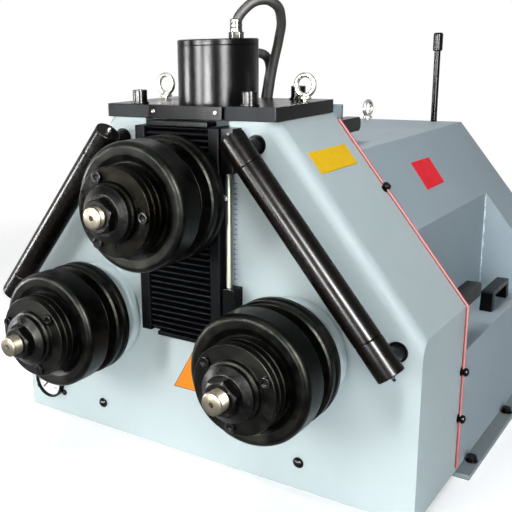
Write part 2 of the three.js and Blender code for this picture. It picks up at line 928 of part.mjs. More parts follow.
const pistonRodSolid = () => {
  const rod = rodDiameter / 2;
  const piston = (cylinderBore / 2) * Math.cos(Math.PI / rollFacets) - seatGap;
  const pistonTop = topPlateTop + cylinderAbove - pistonTopGap;
  return turnedZ([
    [0, slideTop + seatGap],
    [rod, slideTop + seatGap],
    [rod, pistonTop - pistonHeight],
    [piston, pistonTop - pistonHeight],
    [piston, pistonTop],
    [0, pistonTop],
  ], shaftFacets).translate(0, cylinderSet, 0);
};

// Top plate and lifting eyes

const topPlateSolid = () => {
  const bottom = bodyHeight + seatGap;
  const halfWidth = bodyTopHalfWidth;
  const plate = cutBy(
    block(-halfWidth, halfWidth, 0, bodyDepth, bottom, topPlateTop),
    cylinderHole(bottom, topPlateTop),
  );
  const washerTop = topPlateTop + topBoltWasherHeight;
  const bolts = [];
  for (const side of [-1, 1]) {
    for (const y of [topBoltInset, bodyDepth - topBoltInset]) {
      bolts.push(turnedZ([
        [0, topPlateTop - overrun],
        [topBoltWasher / 2, topPlateTop - overrun],
        [topBoltWasher / 2, washerTop],
        [topBoltHead / 2, washerTop],
        [topBoltHead / 2, topPlateTop + topBoltHeight],
        [0, topPlateTop + topBoltHeight],
      ], smallFacets).translate(side * topBoltSpread / 2, y, 0));
    }
  }
  return joined(plate, ...bolts);
};

const eyeBoltSolid = () => {
  const collarTop = eyeShankShown + eyeCollarHeight;
  const wireFacets = 6;
  const loop = new THREE.TorusGeometry(eyeRing / 2, eyeWire / 2, wireFacets, shaftFacets)
    .rotateX(Math.PI / 2)
    .translate(0, 0, collarTop + eyeRing / 2);
  const collar = turnedZ([
    [0, 0],
    [eyeShank / 2, 0],
    [eyeShank / 2, eyeShankShown],
    [eyeCollar / 2 - eyeCollarEdge, eyeShankShown],
    [eyeCollar / 2, eyeShankShown + eyeCollarEdge],
    [eyeCollar / 2, eyeShankShown + eyeCollarHeight / 2],
    [eyeWire / 2 + eyeCollarEdge, collarTop],
    [0, collarTop],
  ], smallFacets);
  return joined(loop, collar);
};

const addEyeBolt = (name, x, y, seat, turn) => {
  const eye = placed(name, eyeBoltSolid(), zinc);
  eye.position.set(x, y, seat + seatGap);
  eye.rotation.z = THREE.MathUtils.degToRad(turn);
};

// Guide rollers. Each is built along +X from its upper end, with the machine's Y kept, and then
// tilted. The upper collar carries the axle, and the lower collar has a blind hole for it.

const guideX = (geometry) => geometry.rotateZ(-Math.PI / 2);
const pinSocket = (at) => rodY(2 * clearing(guidePin, seatGap, smallFacets), 0, guideDiameter,
  smallFacets).translate(at, 0, 0);

const upperCollarSolid = () => {
  const outer = guideDiameter / 2;
  const axle = guideAxle / 2;
  const body = guideX(turned([
    [0, 0],
    [outer - guideCollarEdge, 0],
    [outer, guideCollarEdge],
    [outer, guideCollar],
    [axle, guideCollar],
    [axle, guideRun - guideLowerCollar + guideAxleDepth],
    [0, guideRun - guideLowerCollar + guideAxleDepth],
  ], shaftFacets));
  return cutBy(body, pinSocket(guidePinInset));
};

const lowerCollarSolid = () => {
  const outer = guideDiameter / 2;
  const hole = clearing(guideAxle, seatGap, shaftFacets);
  const start = guideRun - guideLowerCollar;
  const body = guideX(turned([
    [0, start + guideAxleDepth + seatGap],
    [hole, start + guideAxleDepth + seatGap],
    [hole, start],
    [outer, start],
    [outer, guideRun - guideCollarEdge],
    [outer - guideCollarEdge, guideRun],
    [0, guideRun],
  ], shaftFacets));
  return cutBy(body, pinSocket(guideRun - guidePinInset));
};

const sleeveSolid = () => {
  const outer = guideDiameter / 2;
  const bore = clearing(guideAxle, seatGap, shaftFacets);
  const start = guideCollar + turnGap;
  const end = guideRun - guideLowerCollar - turnGap;
  return guideX(turned(ring([
    [bore, start],
    [outer - guideSleeveEdge, start],
    [outer, start + guideSleeveEdge],
    [outer, end - guideSleeveEdge],
    [outer - guideSleeveEdge, end],
    [bore, end],
  ]), shaftFacets));
};

const addGuide = (sideName, side) => {
  const guide = new THREE.Group();
  guide.position.set(side * guideTopX, -guideFront, guideTopZ);
  guide.rotation.y = side > 0 ? guideTilt : Math.PI - guideTilt;
  machine.add(guide);
  placed(`${sideName}_guide_upper_collar`, upperCollarSolid(), browned, guide);
  placed(`${sideName}_guide_lower_collar`, lowerCollarSolid(), browned, guide);
  placed(`${sideName}_guide_sleeve`, sleeveSolid(), browned, guide);
  for (const [end, [x, z]] of Object.entries(guidePins)) {
    const pin = rodY(guidePin, -guideFront + seatGap, frontPlate, smallFacets);
    placed(`${sideName}_guide_${end}_pin`, pin, browned).position.set(side * x, 0, z);
  }
};

// Rear bars, hood handles and mast

const rearBarSolid = (length) => {
  const half = rearBar / 2;
  const start = bodyDepth + seatGap;
  const end = start + length;
  return prismX([
    [start, -half],
    [end - rearBarChamfer, -half],
    [end, -half + rearBarChamfer],
    [end, half - rearBarChamfer],
    [end - rearBarChamfer, half],
    [start, half],
  ], -half, half);
};

const handleSolid = () => {
  const seat = hoodLedgeHeight + seatGap;
  const top = seat + handleHeight;
  const under = top - handleGrip;
  const half = handleLength / 2;
  const leg = handleLeg / 2;
  const side = half + leg - handleLean;
  return prismX([
    [-half - leg, seat],
    [-half + leg, seat],
    [-half + leg + handleLean, under],
    [half - leg - handleLean, under],
    [half - leg, seat],
    [half + leg, seat],
    [side, top - handleEdge],
    [side - handleEdge, top],
    [handleEdge - side, top],
    [-side, top - handleEdge],
  ], -handleWidth / 2, handleWidth / 2);
};

const mastSolid = () => {
  const rod = mastDiameter / 2;
  const knob = mastKnob / 2;
  const foot = hoodHeight + seatGap;
  const knobBottom = foot + mastHeight;
  return turnedZ([
    [0, foot],
    [rod, foot],
    [rod, knobBottom],
    [knob, knobBottom + mastKnobEdge],
    [knob, knobBottom + mastKnobHeight - mastKnobEdge],
    [knob - mastKnobEdge, knobBottom + mastKnobHeight],
    [0, knobBottom + mastKnobHeight],
  ], smallFacets);
};

// Height scale: a bright rod between two black blocks, beside the right rail.
const scaleUnitSolid = () => {
  const blockAt = (bottom, top) => block(
    scaleInner,
    scaleOuter,
    -scaleDepth,
    -seatGap,
    bottom,
    top,
  );
  const rod = turnedZ([
    [0, scaleLowerTop - overrun],
    [scaleRodDiameter / 2, scaleLowerTop - overrun],
    [scaleRodDiameter / 2, scaleUpperBottom + overrun],
    [0, scaleUpperBottom + overrun],
  ], smallFacets).translate(scaleRodX, -scaleRodSet, 0);
  return joined(
    blockAt(scaleLowerBottom, scaleLowerTop),
    rod,
    blockAt(scaleUpperBottom, railTop),
  );
};

// Gauge

const gaugeSolid = () => {
  const outer = gaugeDiameter / 2;
  const inner = outer - gaugeRim;
  const front = -gaugeDepth;
  const cup = turned([
    [0, front + gaugeRecess],
    [inner, front + gaugeRecess],
    [inner, front],
    [outer - gaugeEdge, front],
    [outer, front + gaugeEdge],
    [outer, -seatGap],
    [0, -seatGap],
  ], discFacets);
  const lugs = [90, 210, 330].map((degrees) => {
    const angle = THREE.MathUtils.degToRad(degrees);
    return rodY(gaugeLug, -gaugeLugHeight, -seatGap, smallFacets).translate(
      (gaugeLugCircle / 2) * Math.cos(angle),
      0,
      (gaugeLugCircle / 2) * Math.sin(angle),
    );
  });
  return joined(cup, ...lugs);
};

const needleSolid = () => {
  const dial = -gaugeDepth + gaugeRecess;
  const back = dial - needleOverDial;
  const front = back - needleThickness;
  const blade = prismY(mirrored([
    [needleTailWidth / 2, -needleTail],
    [needleWidth / 2, 0],
    [needleTipWidth / 2, needleLength],
  ]), front, back);
  const hub = rodY(needleHub, front - needleHubFront, dial - needleHubGap, smallFacets);
  return joined(blade, hub);
};

// Hoses and safety cord

// Both hoses leave the roof of the hood. One bends over into the cylinder's cap, and the other
// into a port on its rear side.
const hosePoints = {
  pressure_hose: [
    [36, bodyDepth + 17, hoodHeight + seatGap],
    [36, bodyDepth + 17, hoodHeight + 32],
    [37, bodyDepth + 14, hoodHeight + 78],
    [46, bodyDepth + 9, hoodHeight + 128],
    [59, bodyDepth + 3, hoodHeight + 176],
    [75, bodyDepth - 5, hoodHeight + 222],
    [90, bodyDepth - 23, hoodHeight + 262],
    [92, cylinderSet + 71.4, cylinderTop + 64.7],
    [74, cylinderSet + 41.4, cylinderTop + 72.7],
    [50, cylinderSet + 20.4, cylinderTop + 54.7],
    [36, cylinderSet + 12.4, cylinderTop + 28.7],
    [36, cylinderSet + 12.4, cylinderTop + seatGap],
  ],
  return_hose: [
    [1, bodyDepth + 61, hoodHeight + seatGap],
    [1, bodyDepth + 61, hoodHeight + 32],
    [4, bodyDepth + 61, hoodHeight + 88],
    [13, bodyDepth + 59, hoodHeight + 133],
    [22, bodyDepth + 51, hoodHeight + 166],
    [22, bodyDepth + 33, cylinderTop - 37.3],
    [12, bodyDepth + 9, cylinderTop - 30.3],
    [2, bodyDepth - 13, cylinderTop - 34.3],
    [0, cylinderSet + 95.4, cylinderTop - 35.3],
    [0, cylinderSet + cylinderDiameter / 2 + seatGap, cylinderTop - 35.3],
  ],
};

// The cord runs down the sloping edge of the body and then down its side.
const safetyCordSolid = () => {
  const away = cordDiameter / 2 + cordGap;
  const lean = Math.atan(bodySlope);
  const side = bodyHalfWidth + away;
  const bend = bodySideHeight + away * Math.tan(lean / 2);
  const top = bodyHeight - cordEnds;
  const slopeSide = side + (bend - top) * bodySlope;
  return cordThrough(
    [[slopeSide, top], [side, bend], [side, cordEnds]],
    bodyDepth - cordOffset,
    cordDiameter,
    cordSides,
  );
};

// The machine, put together

placed('base_plate', basePlateSolid(), bodyPaint);
placed('front_housing', frontHousing(), bodyPaint);
placed('rear_hood', rearHood(), bodyPaint);

const cartridgeShoulder = bearingFlangeThickness + slideGap;
addRollSet('left', rollPlaces.left, cartridgeShoulder, bodyDepth + seatGap);
addRollSet('right', rollPlaces.right, cartridgeShoulder, bodyDepth + seatGap);
addRollSet('top', rollPlaces.top, slideFront + slideGap, slideRear + seatGap);

for (const [sideName, side] of [['left', -1], ['right', 1]]) {
  const axis = [side * lowerRollSpread / 2, 0, lowerRollHeight];
  placed(`${sideName}_bearing`, bearingSolid(), bodyPaint).position.set(...axis);
  placed(
    `${sideName}_gear_motor`,
    gearMotorSolid(bodyDepth + seatGap, gearFlange, gearDiameter),
    castGrey,
  ).position.set(...axis);
  addGuide(sideName, side);
  placed(`${sideName}_rail`, railSolid(side), blackPaint);
  placed(`${sideName}_upper_rear_bar`, rearBarSolid(upperBarLength), blackPaint)
    .position.set(side * upperBarX, 0, upperBarZ);
  placed(`${sideName}_lower_rear_bar`, rearBarSolid(lowerBarLength), blackPaint)
    .position.set(side * lowerBarX, 0, lowerBarZ);
  placed(`${sideName}_hood_handle`, handleSolid(), blackPlastic)
    .position.set(side * handleX, bodyDepth + handleSet + handleLength / 2, 0);
  addEyeBolt(`${sideName}_eye_bolt`, side * eyeX, eyeSet, topPlateTop, eyeTurn);
}

placed('slide_block', slideSolid(), castGrey);
placed(
  'top_gear_motor',
  gearMotorSolid(slideRear + seatGap, topGearFlange, topGearDiameter),
  castGrey,
).position.set(0, 0, topRollHeight);
placed('lower_bellows', bellowsSolid(railBottom, slideBottom - seatGap), bellowsCloth);
placed('upper_bellows', bellowsSolid(slideTop + seatGap, railTop - seatGap), bellowsCloth);
placed('bellows_end_block', block(
  -endBlockHalfWidth,
  endBlockHalfWidth,
  -bellowsFront,
  -seatGap,
  railBottom - bellowsFlange,
  railBottom - seatGap,
), blackPaint);
placed('top_plate', topPlateSolid(), blackPaint);
placed('slideway_cover', block(
  -coverPlateHalfWidth,
  coverPlateHalfWidth,
  -coverPlateThickness,
  -seatGap,
  bodyHeight + coverPlateInset,
  topPlateTop - coverPlateInset,
), blackPaint);
placed('cylinder', cylinderSolid(), blackPaint);
placed('piston_rod', pistonRodSolid(), bareSteel);
placed(
  'pressure_hose',
  tubeAlong(hosePoints.pressure_hose, hoseDiameter, hoseSides, pressureHoseSteps),
  rubber,
);
placed(
  'return_hose',
  tubeAlong(hosePoints.return_hose, hoseDiameter, hoseSides, returnHoseSteps),
  rubber,
);
placed('safety_cord', safetyCordSolid(), redCord);
addEyeBolt('hood_eye_bolt', 0, bodyDepth + hoodEyeSet, hoodHeight, hoodEyeTurn);
placed('mast', mastSolid(), blackPaint).position.set(mastX, bodyDepth + mastSet, 0);
placed('power_pack', powerPackSolid(), castGrey);
placed('height_scale', scaleUnitSolid(), blackPaint);
placed('gauge_case', gaugeSolid(), blackPlastic).position.set(gaugeX, 0, gaugeZ);
const needle = placed('gauge_needle', needleSolid(), blackPlastic);
needle.position.set(gaugeX, 0, gaugeZ);
needle.rotation.y = THREE.MathUtils.degToRad(needleRest);

// The part's origin is the centre of the base plate's underside.
machine.position.set(0, -(baseFrontInset + hoodEnd) / 2, basePlate + seatGap);
const part = new THREE.Group();
part.add(machine);

export default part;
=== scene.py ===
"""Looks of a three-roll hydraulic ring roller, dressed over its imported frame.

Every piece is modelled in the machine's own millimetres: X to the right of someone facing the
rolls, Y into the machine from the face of the front plate, and Z up from the underside of the
body. Datum turns them into the row frame's metres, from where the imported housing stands.
"""

import json
import logging
import math
from dataclasses import dataclass
from enum import Enum
from typing import Iterable, Optional, Sequence

import bmesh
import bpy
from mathutils import Matrix, Vector

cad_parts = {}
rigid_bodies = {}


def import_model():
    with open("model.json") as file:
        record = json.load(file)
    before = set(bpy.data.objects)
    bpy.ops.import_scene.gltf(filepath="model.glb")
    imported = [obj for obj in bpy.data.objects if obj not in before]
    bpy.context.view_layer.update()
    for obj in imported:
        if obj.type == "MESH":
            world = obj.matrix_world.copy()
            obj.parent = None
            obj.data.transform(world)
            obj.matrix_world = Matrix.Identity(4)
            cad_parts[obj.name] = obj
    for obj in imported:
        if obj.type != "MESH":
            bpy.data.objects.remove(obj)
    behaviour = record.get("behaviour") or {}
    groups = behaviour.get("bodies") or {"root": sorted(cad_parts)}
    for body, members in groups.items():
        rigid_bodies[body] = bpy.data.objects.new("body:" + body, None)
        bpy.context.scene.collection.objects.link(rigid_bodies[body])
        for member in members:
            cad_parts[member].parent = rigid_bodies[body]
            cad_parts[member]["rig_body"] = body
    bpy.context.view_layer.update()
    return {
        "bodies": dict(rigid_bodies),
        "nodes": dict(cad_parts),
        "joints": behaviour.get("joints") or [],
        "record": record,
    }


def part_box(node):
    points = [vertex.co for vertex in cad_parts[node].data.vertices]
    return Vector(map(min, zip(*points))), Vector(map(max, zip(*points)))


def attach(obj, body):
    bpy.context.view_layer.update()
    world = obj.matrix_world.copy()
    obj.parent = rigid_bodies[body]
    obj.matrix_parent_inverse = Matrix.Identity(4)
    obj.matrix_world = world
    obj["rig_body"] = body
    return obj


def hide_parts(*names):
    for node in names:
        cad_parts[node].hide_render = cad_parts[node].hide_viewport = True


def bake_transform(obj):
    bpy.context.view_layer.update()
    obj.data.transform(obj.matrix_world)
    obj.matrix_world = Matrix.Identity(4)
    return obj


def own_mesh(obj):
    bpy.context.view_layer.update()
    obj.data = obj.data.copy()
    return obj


LOG = logging.getLogger("ring_roller")

Colour = tuple[float, float, float]
Point = tuple[float, float, float]
Profile = Sequence[tuple[float, float]]
Mesh = bmesh.types.BMesh
Piece = bpy.types.Object
Socket = bpy.types.NodeSocket

MM = 0.001
SEAT_GAP = 0.3

# In machine millimetres: points this close are one, in turned pieces and in CAD copies
MERGED = 1e-4
JOINED = 0.005

# Steps round a turned piece
FINE = 96
MEDIUM = 48
SMALL = 24

# A wave pattern's scale, times its pitch in metres
WAVE = 0.314

# The sockets of a Mix node that mixes colours
SHARE, FIRST, SECOND, RESULT = 0, 6, 7, 2

WHITE = (1.0, 1.0, 1.0)


class Axis(Enum):
    """The axis that a turned piece is spun about."""

    Y = (0.0, 1.0, 0.0)
    Z = (0.0, 0.0, 1.0)


class Side(Enum):
    """The left or the right half of the machine, as its operator sees it."""

    LEFT = -1
    RIGHT = 1

    @property
    def word(self) -> str:
        """The side's name as it stands in the node names."""
        return self.name.lower()


# Materials


class Graph:
    """Builds one material's nodes, with every pattern on Object coordinates."""

    def __init__(self, name: str, centre: Point = (0.0, 0.0, 0.0)) -> None:
        """Starts a material with a Principled shader.

        Args:
            name: The material's name.
            centre: The point, in row metres, that patterns are centred on.
        """
        self.material = bpy.data.materials.new(name)
        self.material.use_nodes = True
        self.tree = self.material.node_tree
        self.tree.nodes.clear()
        self.shader = self.add("ShaderNodeBsdfPrincipled")
        self.output = self.add("ShaderNodeOutputMaterial")
        self.link(self.shader.outputs["BSDF"], self.output.inputs["Surface"])
        self.coordinates = self.add("ShaderNodeTexCoord").outputs["Object"]
        self.centre = centre

    def add(self, kind: str) -> bpy.types.Node:
        """Adds one node of that kind."""
        return self.tree.nodes.new(kind)

    def link(self, source: Socket, target: Socket) -> None:
        """Joins an output to an input."""
        self.tree.links.new(source, target)

    def plain(self, **values: object) -> None:
        """Sets uniform values on the shader's own sockets, named with underscores."""
        for word, value in values.items():
            self.shader.inputs[word.replace("_", " ")].default_value = value

    def placed(self, stretch: Point = (1.0, 1.0, 1.0)) -> Socket:
        """Centres the coordinates and stretches them along the axes.

        Args:
            stretch: How many times each axis is multiplied.

        Returns:
            The vector output of a Mapping node.
        """
        mapping = self.add("ShaderNodeMapping")
        mapping.inputs["Scale"].default_value = stretch
        mapping.inputs["Location"].default_value = tuple(
            -c * s for c, s in zip(self.centre, stretch)
        )
        self.link(self.coordinates, mapping.inputs["Vector"])
        return mapping.outputs["Vector"]

    def noise(
        self, scale: float, detail: float = 3.0, roughness: float = 0.5,
        stretch: Point = (1.0, 1.0, 1.0)
    ) -> Socket:
        """Makes a noise pattern.

        Args:
            scale: Blotches per metre.
            detail: Layers of finer noise.
            roughness: How strong the finer layers are.
            stretch: Axis multipliers, for a grain that runs one way.

        Returns:
            The pattern, from 0 to 1.
        """
        node = self.add("ShaderNodeTexNoise")
        node.inputs["Scale"].default_value = scale
        node.inputs["Detail"].default_value = detail
        node.inputs["Roughness"].default_value = roughness
        self.link(self.placed(stretch), node.inputs["Vector"])
        return node.outputs["Fac"]

    def rings(self, pitch: float, axis: Axis, wobble: float = 0.4) -> Socket:
        """Makes the tool marks of a turned face, round an axis through the centre.

        Args:
            pitch: The distance between two marks, in metres.
            axis: The axis that the piece was turned about.
            wobble: How uneven the marks are.

        Returns:
            The pattern, from 0 to 1.
        """
        node = self.add("ShaderNodeTexWave")
        node.wave_type = "RINGS"
        node.rings_direction = axis.name
        node.inputs["Scale"].default_value = WAVE / pitch
        node.inputs["Distortion"].default_value = wobble
        node.inputs["Detail"].default_value = 2.0
        node.inputs["Detail Scale"].default_value = 40.0
        self.link(self.placed(), node.inputs["Vector"])
        return node.outputs["Fac"]

    def stripes(self, pitch: float, axis: Axis) -> Socket:
        """Makes even stripes across an axis, the first one half a pitch from the centre.

        Args:
            pitch: The distance between two stripes, in metres.
            axis: The axis that they follow one another along.

        Returns:
            The pattern, from 0 to 1.
        """
        node = self.add("ShaderNodeTexWave")
        node.bands_direction = axis.name
        node.inputs["Scale"].default_value = math.pi / 10 / pitch
        self.link(self.placed(), node.inputs["Vector"])
        return node.outputs["Fac"]

    def ranged(
        self, source: Socket, seen: tuple[float, float], given: tuple[float, float] = (0.0, 1.0)
    ) -> Socket:
        """Turns one range of a pattern into another.

        Args:
            source: The pattern.
            seen: The pattern's low and high values that count.
            given: What these become.

        Returns:
            The new pattern, held within the given range.
        """
        node = self.add("ShaderNodeMapRange")
        for word, value in zip(("From Min", "From Max", "To Min", "To Max"), (*seen, *given)):
            node.inputs[word].default_value = value
        self.link(source, node.inputs["Value"])
        return node.outputs["Result"]

    def patches(
        self, seen: tuple[float, float], most: float, scale: float, detail: float = 3.0,
        roughness: float = 0.5, stretch: Point = (1.0, 1.0, 1.0)
    ) -> Socket:
        """Makes blotches out of a noise pattern, from 0 to a highest value."""
        return self.ranged(self.noise(scale, detail, roughness, stretch), seen, (0.0, most))

    def joined(self, operation: str, first: Socket, second: Socket) -> Socket:
        """Joins two patterns by a sum of that kind.

        Args:
            operation: The kind of sum.
            first: The first pattern.
            second: The second pattern.

        Returns:
            The new pattern.
        """
        node = self.add("ShaderNodeMath")
        node.operation = operation
        self.link(first, node.inputs[0])
        self.link(second, node.inputs[1])
        return node.outputs[0]

    def mixed(self, share: Socket, first: object, second: object) -> Socket:
        """Mixes two colours, each a colour or another output.

        Args:
            share: The share of the second colour.
            first: The first colour.
            second: The second colour.

        Returns:
            The mixed colour.
        """
        node = self.add("ShaderNodeMix")
        node.data_type = "RGBA"
        self.link(share, node.inputs[SHARE])
        for place, value in ((FIRST, first), (SECOND, second)):
            if isinstance(value, Socket):
                self.link(value, node.inputs[place])
            else:
                node.inputs[place].default_value = (*value, 1.0)
        return node.outputs[RESULT]

    def faded(self, share: Socket) -> None:
        """Lets the surface turn clear by a share.

        Args:
            share: How much of it is clear.
        """
        clear = self.add("ShaderNodeBsdfTransparent")
        mix = self.add("ShaderNodeMixShader")
        self.link(share, mix.inputs["Fac"])
        self.link(self.shader.outputs["BSDF"], mix.inputs[1])
        self.link(clear.outputs["BSDF"], mix.inputs[2])
        self.link(mix.outputs["Shader"], self.output.inputs["Surface"])

    def colour(self, source: Socket) -> None:
        """Gives the shader its base colour."""
        self.link(source, self.shader.inputs["Base Color"])

    def roughness(self, source: Socket, seen: tuple[float, float], low: float, high: float) -> None:
        """Gives the shader a roughness that follows a pattern."""
        self.link(self.ranged(source, seen, (low, high)), self.shader.inputs["Roughness"])

    def bump(
        self, height: Socket, distance: float, strength: float = 1.0, under: Optional[Socket] = None
    ) -> Socket:
        """Adds a relief to the surface.

        Args:
            height: The pattern of the relief.
            distance: Its depth in metres.
            strength: How much of it shows.
            under: A relief that lies below it.

        Returns:
            The relief, for another one to lie on.
        """
        node = self.add("ShaderNodeBump")
        node.inputs["Distance"].default_value = distance
        node.inputs["Strength"].default_value = strength
        self.link(height, node.inputs["Height"])
        if under is not None:
            self.link(under, node.inputs["Normal"])
        self.link(node.outputs["Normal"], self.shader.inputs["Normal"])
        return node.outputs["Normal"]


def shaded(colour: Colour, share: float, lift: float = 0.0) -> Colour:
    """Scales a colour, and lifts it evenly."""
    return tuple(c * share + lift for c in colour)


@dataclass(frozen=True)
class Finish:
    """One finish of the machine, and the record's slot that it belongs to."""

    name: str
    slot: str
    colour: Colour

    def dress(self, graph: Graph) -> None:
        """Fills the material's nodes. Each kind of finish has its own.

        Args:
            graph: The material's nodes.
        """
        share = graph.patches((0.3, 0.7), 1.0, 40.0)
        graph.colour(graph.mixed(share, self.colour, shaded(self.colour, 0.9)))
        graph.plain(Roughness=0.5)

    def material(self, centre: Point = (0.0, 0.0, 0.0)) -> bpy.types.Material:
        """Makes the material, once for each centre.

        Args:
            centre: The point that its patterns are centred on, in row metres.

        Returns:
            The material.
        """
        name = self.name + "".join(f"_{round(c * 1000)}" for c in centre if any(centre))
        found = bpy.data.materials.get(name)
        if found is None:
            graph = Graph(name, centre)
            self.dress(graph)
            found = graph.material
        return found


@dataclass(frozen=True)
class Enamel(Finish):
    """Sprayed enamel on sheet or plate, with a slight orange peel and handling marks."""

    roughness: float = 0.36
    shade: float = 0.93
    peel: float = 0.00006
    coat: float = 0.15
    gloss: float = 0.5

    def dress(self, graph: Graph) -> None:
        """Lays an even colour with faint clouds, dull smears and peel.

        Args:
            graph: The material's nodes.
        """
        clouds = graph.patches((0.35, 0.65), 1.0, 3.0, 4.0, 0.55)
        base = graph.mixed(clouds, self.colour, shaded(self.colour, self.shade))
        specks = graph.patches((0.72, 0.78), 0.35, 420.0, 2.0, 0.6)
        graph.colour(graph.mixed(specks, base, shaded(self.colour, 0.6)))
        smears = graph.noise(9.0, 5.0, 0.6, (1.0, 1.0, 0.35))
        graph.roughness(smears, (0.3, 0.7), self.roughness - 0.05, self.roughness + 0.1)
        graph.plain(Coat_Weight=self.coat, Coat_Roughness=0.2, Specular_IOR_Level=self.gloss)
        waves = graph.bump(graph.noise(6.0, 2.0), 0.0012, 0.12)
        graph.bump(graph.noise(650.0, 2.0, 0.5), self.peel, 1.0, waves)


@dataclass(frozen=True)
class BlackOxide(Finish):
    """Turned steel, blacked and oiled: dark, glossy, and mottled where oil has dried."""

    stain: Colour = (0.045, 0.04, 0.024)
    stained: float = 0.6
    roughness: float = 0.27
    axis: Axis = Axis.Y
    pitch: float = 0.0011

    def dress(self, graph: Graph) -> None:
        """Mixes black and stain in blotches and specks over fine turning marks.

        Args:
            graph: The material's nodes.
        """
        blotches = graph.patches((0.42, 0.66), self.stained, 26.0, 6.0, 0.62)
        base = graph.mixed(blotches, self.colour, self.stain)
        dust = graph.patches((0.57, 0.7), 0.6, 520.0, 3.0, 0.7)
        spotted = graph.patches((0.45, 0.62), 1.0, 18.0, 3.0)
        specks = graph.joined("MULTIPLY", dust, spotted)
        graph.colour(graph.mixed(specks, base, shaded(self.stain, 3.0, 0.02)))
        graph.roughness(
            graph.noise(34.0, 6.0, 0.65), (0.35, 0.68), self.roughness, self.roughness + 0.2
        )
        graph.plain(Metallic=1.0)
        marks = graph.bump(graph.rings(self.pitch, self.axis), 0.00002, 0.25)
        graph.bump(graph.noise(900.0, 2.0), 0.00002, 0.3, marks)


@dataclass(frozen=True)
class Browned(Finish):
    """Browned bar stock, with bright scratches along it."""

    roughness: float = 0.22
    scratch: Colour = (0.012, 0.011, 0.009)

    def dress(self, graph: Graph) -> None:
        """Mixes brown blotches with broken bright rubs.

        Args:
            graph: The material's nodes.
        """
        blotches = graph.patches((0.4, 0.65), 1.0, 38.0, 6.0, 0.6)
        rust = (self.colour[0] * 1.9, self.colour[1] * 1.6, self.colour[2] * 1.3)
        base = graph.mixed(blotches, self.colour, rust)
        rubs = graph.patches((0.62, 0.72), 0.5, 90.0, 7.0, 0.75)
        graph.colour(graph.mixed(rubs, base, self.scratch))
        graph.roughness(
            graph.noise(60.0, 6.0, 0.7), (0.35, 0.65), self.roughness, self.roughness + 0.08
        )
        graph.plain(Specular_IOR_Level=0.055)
        graph.bump(graph.noise(300.0, 4.0, 0.6), 0.00002, 0.4)


@dataclass(frozen=True)
class BareSteel(Finish):
    """Bare turned steel, warm and a little stained."""

    axis: Axis = Axis.Y
    pitch: float = 0.0016
    roughness: float = 0.3

    def dress(self, graph: Graph) -> None:
        """Lays turning rings and tea-coloured stains.

        Args:
            graph: The material's nodes.
        """
        stains = graph.patches((0.4, 0.75), 0.7, 160.0, 5.0, 0.65)
        dark = (self.colour[0] * 0.42, self.colour[1] * 0.36, self.colour[2] * 0.28)
        graph.colour(graph.mixed(stains, self.colour, dark))
        graph.roughness(stains, (0.0, 1.0), self.roughness, self.roughness + 0.2)
        graph.plain(Metallic=1.0)
        graph.bump(graph.rings(self.pitch, self.axis, 0.6), 0.0001, 0.7)


@dataclass(frozen=True)
class Plated(Finish):
    """Zinc or bright plating with soft dullness."""

    roughness: float = 0.22

    def dress(self, graph: Graph) -> None:
        """Lays a bright metal with clouds in its gloss.

        Args:
            graph: The material's nodes.
        """
        clouds = graph.patches((0.35, 0.7), 1.0, 90.0, 5.0, 0.6)
        graph.colour(graph.mixed(clouds, self.colour, shaded(self.colour, 0.72)))
        graph.roughness(clouds, (0.0, 1.0), self.roughness, self.roughness + 0.16)
        graph.plain(Metallic=1.0)
        graph.bump(graph.noise(500.0, 3.0), 0.00003, 0.5)


@dataclass(frozen=True)
class Milled(Finish):
    """A sawn and milled plate edge under thin black: upright tool marks."""

    bright: Colour = (0.0032, 0.0036, 0.004)

    def dress(self, graph: Graph) -> None:
        """Lays upright streaks of bare metal through the black.

        Args:
            graph: The material's nodes.
        """
        streaks = graph.patches((0.4, 0.68), 1.0, 120.0, 5.0, 0.7, (2.2, 1.0, 0.12))
        graph.colour(graph.mixed(streaks, self.colour, self.bright))
        graph.roughness(streaks, (0.0, 1.0), 0.38, 0.5)
        graph.plain(Metallic=0.85, Specular_IOR_Level=0.1)
        graph.bump(graph.noise(240.0, 4.0, 0.6, (3.0, 1.0, 0.1)), 0.00012, 0.7)


@dataclass(frozen=True)
class Hammered(Finish):
    """Thick black paint with a speckled, hammered skin."""

    roughness: float = 0.38
    grain: float = 330.0
    depth: float = 0.0004
    gloss: float = 0.2

    def dress(self, graph: Graph) -> None:
        """Lays a black skin over a coarse grain.

        Args:
            graph: The material's nodes.
        """
        grain = graph.noise(self.grain, 3.0, 0.6)
        lifted = graph.ranged(grain, (0.5, 0.72), (0.0, 0.55))
        graph.colour(graph.mixed(lifted, self.colour, shaded(self.colour, 2.5, 0.004)))
        graph.plain(Roughness=self.roughness, Specular_IOR_Level=self.gloss)
        graph.bump(grain, self.depth, 0.8)


@dataclass(frozen=True)
class Moulded(Finish):
    """Moulded plastic or rubber with a fine grain."""

    roughness: float = 0.4
    grain: float = 1400.0
    depth: float = 0.00003
    gloss: float = 0.3

    def dress(self, graph: Graph) -> None:
        """Lays a plain colour with a faint bloom and grain.

        Args:
            graph: The material's nodes.
        """
        bloom = graph.patches((0.4, 0.7), 0.6, 60.0, 5.0, 0.6)
        graph.colour(graph.mixed(bloom, self.colour, shaded(self.colour, 1.1, 0.002)))
        graph.roughness(
            graph.noise(45.0, 4.0), (0.3, 0.7), self.roughness - 0.04, self.roughness + 0.1
        )
        graph.plain(Specular_IOR_Level=self.gloss)
        graph.bump(graph.noise(self.grain, 2.0), self.depth, 0.7)


